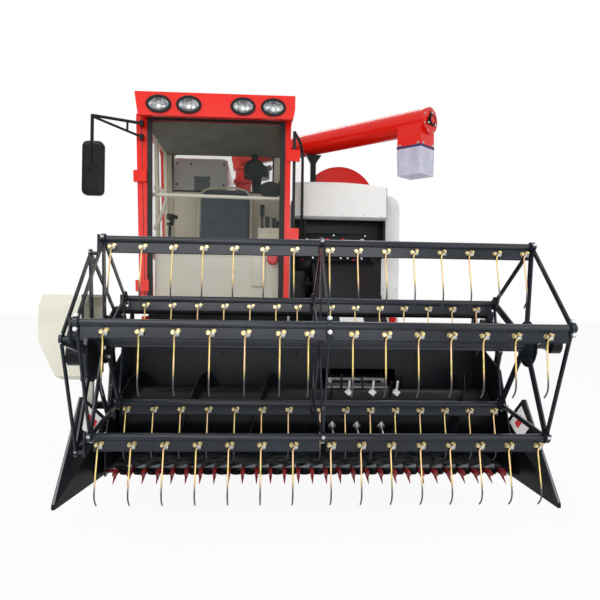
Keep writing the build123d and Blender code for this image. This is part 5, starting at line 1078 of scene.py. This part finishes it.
def make_header_trim():
    """Grey ribs on the knife, painted highlights of the lit patches of its sheet; bolts and scallops of the
    knife, guides on the auger, grey strips along the dividers' edges, painted as highlights, and plates on
    the dividers.
    """
    # Grey triangular ribs between the guards: painted highlight, the lit patches of the sheet between the
    # guards' shadows.
    highlight_rib = start_block((0.0, -1.676, 0.242), (0.060, -1.646, 0.272))
    for vertex in highlight_rib.data.vertices:
        if vertex.co.z > 0.26 and vertex.co.x < 0.03:
            vertex.co.z = 0.252
        if vertex.co.z > 0.26 and vertex.co.y > -1.66:
            vertex.co.y = -1.652
    round_edges(highlight_rib, 0.002, 1)
    bolt = hex_bolt((0, -1.650, 0.2395), UP, 0.014, 0.009)
    scallop = soft_rod((0, -1.692, 0.2268), (0, -1.692, 0.2335), 0.032, 16, width=0.002)
    tip = soft_rod((0, -1.762, 0.2375), (0, -1.826, 0.206), 0.0100, 4, tip=0.002)
    # row along the knife: model, its start from the first guard, count, name, finish
    for model, start, count, name, finish in (
            (highlight_rib, 0.008, KNIFE_PITCHES, "knife_highlight_ribs", GREY_AND_PAINTED_LIGHT),
            (bolt, 0.0, KNIFE_PITCHES + 1, "guard_bolts", STEEL),
            (scallop, KNIFE_PITCH / 2, KNIFE_PITCHES, "guard_scallops", SCALE_BROWN),
            (tip, 0.0, KNIFE_PITCHES + 1, "guard_tips", GUARD_RED)):
        first = HEADER_X - KNIFE_PITCHES / 2 * KNIFE_PITCH + start
        places = [shift(first + n * KNIFE_PITCH) for n in range(count)]
        present(repeat(model, places), name, finish, "header")
    guides, holed = [], []
    for n in range(3):
        for x, angle, group in ((0.410 + n * 0.147, 62, guides), (0.303 + n * 0.148, -22, holed)):
            pad = start_rod((0, -0.146, 0), (0, -0.158, 0), 0.034, 4)
            pad.data.transform(Matrix.Diagonal((0.75, 1, 1.05, 1)))
            pick(pad, toward("y", -1))
            inset(0.008)
            draw_out((0, -0.010, 0), (0.6, 1, 0.6), (0, -0.168, 0))
            round_edges(close(pad), 0.002, 1)
            finger = soft_rod((0, -0.150, 0), (0, -0.236, 0), 0.0065, 12)
            for part in (pad, finger):
                part.data.transform(shift(x, *AUGER_AXIS) @ Matrix.Rotation(math.radians(-angle), 4, "X"))
                group.append(part)
    present(guides, "finger_guides_top", PLATE_WHITE, "auger_drum")
    present(holed, "finger_guides_front", STEEL, "auger_drum")
    strips, plates, patches, side_bolts = [], [], [], []
    bolt_spots = (
        (-1.70, 0.45), (-1.66, 0.60), (-1.40, 0.74), (-1.20, 0.90),
        (-1.06, 0.60), (-1.10, 0.34), (-1.50, 0.30))
    for side, tip_x, seat in ((-1, -1.137, -0.9683), (1, 1.420, 1.2983)):
        inner = tip_x - side * 0.006
        # grey rods along the divider's upper and lower edges: painted highlights
        strips.append(soft_rod((inner, -1.645, 0.636), (inner - side * 0.002, -2.074, 0.178), 0.0055, 10))
        strips.append(soft_rod((inner, -1.645, 0.290), (inner - side * 0.002, -2.074, 0.160), 0.0045, 10))
        near = [Vector((seat, -1.64, 0.510)), Vector((tip_x - side * 0.026, -1.64, 0.640))]
        far = [Vector((tip_x - side * 0.016, -2.08, 0.172)), Vector((tip_x - side * 0.008, -2.08, 0.176))]

        def spot(across, down):
            """A point of the divider's face, by its shares across and down it."""
            return near[0].lerp(near[1], across).lerp(far[0].lerp(far[1], across), down)

        # plate on the divider: across from and to, down from and to, its list, its lift off the face
        for s0, s1, t0, t1, group, lift in (
                (0.12, 0.88, 0.04, 0.27, plates, 0.0), (0.30, 0.70, 0.10, 0.17, patches, 0.0016)):
            corners = [spot(s0, t0), spot(s1, t0), spot(s1, t1), spot(s0, t1)]
            if side > 0:
                corners.reverse()
            rise = (corners[1] - corners[0]).cross(corners[3] - corners[0]).normalized()
            if rise.z < 0:
                corners.reverse()
                rise = -rise
            group.append(slab([corner + rise * lift for corner in corners], 0.0018))
        heads = [(seat - side * 0.0003, y, z) for y, z in bolt_spots]
        side_bolts += bolts_at(heads, (side, 0, 0), 0.018, 0.010)
    present(strips, "divider_highlight_strips", GREY_AND_PAINTED_LIGHT, "header")
    present(plates, "divider_plates", PLATE_WHITE, "header")
    present(patches, "divider_patches", KNOB_RED, "header")
    present(side_bolts, "end_plate_bolts", STEEL, "header")
    rim = open_frame(start_block((-1.0995, -1.7535, 0.7415), (-1.0825, -1.3165, 1.2135)), "x", 0.012)
    present(round_edges(rim, 0.004, 2), "drive_guard_rim", BLACK, "header")


def make_side_trim():
    """Latches of the covers, beads on the drum cover and handles of the tank's lids."""
    latch = start_rod((0, 0, 0), (0.004, 0, 0), 0.017, 20)
    pick(latch, toward("x", 1))
    inset(0.004)
    draw_out((0.0015, 0, 0))
    latch = gather([close(latch), soft_block((0.004, -0.010, -0.0022), (0.0072, 0.010, 0.0022), 0.001)])
    turned = Matrix.Rotation(math.pi, 4, "Z")
    places = []
    for y0, y1 in ((0.160, 0.742), (0.748, 1.422), (1.428, 2.100)):
        places += [shift(1.0436, y, z) for y in (y0 + 0.05, y1 - 0.05) for z in (0.80, 1.40, 1.95)]
    for y0, y1, z0, z1 in ((-0.400, 0.560, 0.730, 1.060), (0.640, 1.880, 0.730, 1.290)):
        for y in (y0 + 0.035, y1 - 0.035):
            places += [shift(-1.0338, y, z) @ turned for z in (z0 + 0.035, z1 - 0.035)]
    present(repeat(latch, places), "cover_latches", STEEL)
    beads = []
    for y in (0.735, 1.050, 1.380, 1.710, 2.025):
        arc = []
        for step in range(25):
            angle = math.pi * step / 24
            arc.append((
                DRUM_COVER_X + DRUM_COVER_RADIUS * math.cos(angle), y,
                DRUM_COVER_Z + DRUM_COVER_RADIUS * math.sin(angle)))
        beads.append(wire(arc, 0.007, 8))
    present(beads, "drum_cover_beads", RED)
    outline = (
        (-0.80, 2.494), (-0.80, 2.528), (-0.785, 2.538), (-0.695, 2.538), (-0.68, 2.528), (-0.68, 2.494))
    bows, feet = [], []
    for y in (0.94, 1.58):
        bows.append(wire([(x, y, z) for x, z in outline], 0.006, 8))
        feet += bolts_at([(x, y, 2.4955) for x in (-0.80, -0.68)], UP, 0.024, 0.006)
    present(bows + feet, "lid_handles", STEEL)


make_boom_trim()
make_front_body()
make_header_trim()
make_side_trim()


# Studio
def seen(tree):
    """1 for what the camera sees straight on, mirrored or through glass, and 0 for light that only falls."""
    path = add(tree, "ShaderNodeLightPath")
    factor = path.outputs["Is Camera Ray"]
    for kind in ("Is Glossy Ray", "Is Transmission Ray"):
        factor = combine(tree, "MAXIMUM", factor, path.outputs[kind])
    return factor


def make_floor():
    """A wide matt floor that shows nearly white and still takes soft shadows."""
    deselect()
    bpy.ops.mesh.primitive_plane_add(size=60, location=(0, 8, 0))
    floor = settle(bpy.context.object)
    floor.name = "studio_floor"
    material, tree, shader = new_material("matt_white_floor", **{"Roughness": 0.9, "Specular IOR Level": 0.1})
    set_tones(tree, shader, grain(tree, 3.0), "#F6F6F6", "#FAFAFA")
    share = combine(tree, "MULTIPLY", seen(tree), FLOOR_GLOW)
    glow = add(tree, "ShaderNodeEmission", {"Color": (1, 1, 1, 1), "Strength": 1.0}).outputs["Emission"]
    mix = add(tree, "ShaderNodeMixShader", {0: share, 1: shader.outputs["BSDF"], 2: glow})
    end = next(node for node in tree.nodes if node.type == "OUTPUT_MATERIAL")
    tree.links.new(mix.outputs[0], end.inputs["Surface"])
    floor.data.materials.append(material)


def make_world():
    """White round the machine, and a weaker light from it."""
    world = bpy.data.worlds.new("pale_studio")
    bpy.context.scene.world = world
    world.use_nodes = True
    tree = world.node_tree
    tree.nodes.clear()
    strength = span(tree, seen(tree), WORLD_LEVEL, 1.0)
    sky = add(tree, "ShaderNodeBackground", {"Color": (1, 1, 1, 1), "Strength": strength})
    add(tree, "ShaderNodeOutputWorld", {"Surface": sky.outputs["Background"]})


def make_light(name, place, target, size, power):
    """A softbox that looks from its place to a target, with its width and height and its power in watts."""
    lamp = bpy.data.lights.new(name, "AREA")
    lamp.shape = "RECTANGLE"
    lamp.size, lamp.size_y = size
    lamp.energy = power
    holder = bpy.data.objects.new(name, lamp)
    holder.location = place
    holder.rotation_euler = (Vector(target) - Vector(place)).to_track_quat("-Z", "Y").to_euler()
    bpy.context.scene.collection.objects.link(holder)


def make_camera():
    """The camera that was fitted to the photograph."""
    lens = bpy.data.cameras.new("photo_camera")
    lens.sensor_width = SENSOR
    lens.lens = FOCAL_PIXELS / PHOTO_PIXELS * SENSOR
    camera = bpy.data.objects.new("photo_camera", lens)
    turn = Matrix.Rotation(-CAMERA_YAW, 4, "Z") @ Matrix.Rotation(math.radians(90), 4, "X")
    camera.matrix_world = Matrix.Translation(CAMERA_PLACE) @ turn @ Matrix.Rotation(CAMERA_ROLL, 4, "Z")
    bpy.context.scene.collection.objects.link(camera)
    bpy.context.scene.camera = camera


make_floor()
make_world()
make_light("key_softbox", (-3.0, -6.0, 6.5), (0, -0.6, 1.2), (5.0, 4.0), 230)
make_light("front_softbox", (-0.4, -8.5, 2.0), (0, -0.5, 1.4), (5.0, 2.5), 115)
make_light("fill_softbox", (4.5, -5.0, 3.0), (0, -0.8, 1.2), (4.0, 4.0), 70)
make_light("rear_softbox", (0.5, 6.0, 6.0), (0, 0.8, 1.5), (5.0, 3.0), 120)
make_camera()
bpy.context.scene.view_settings.view_transform = "Standard"
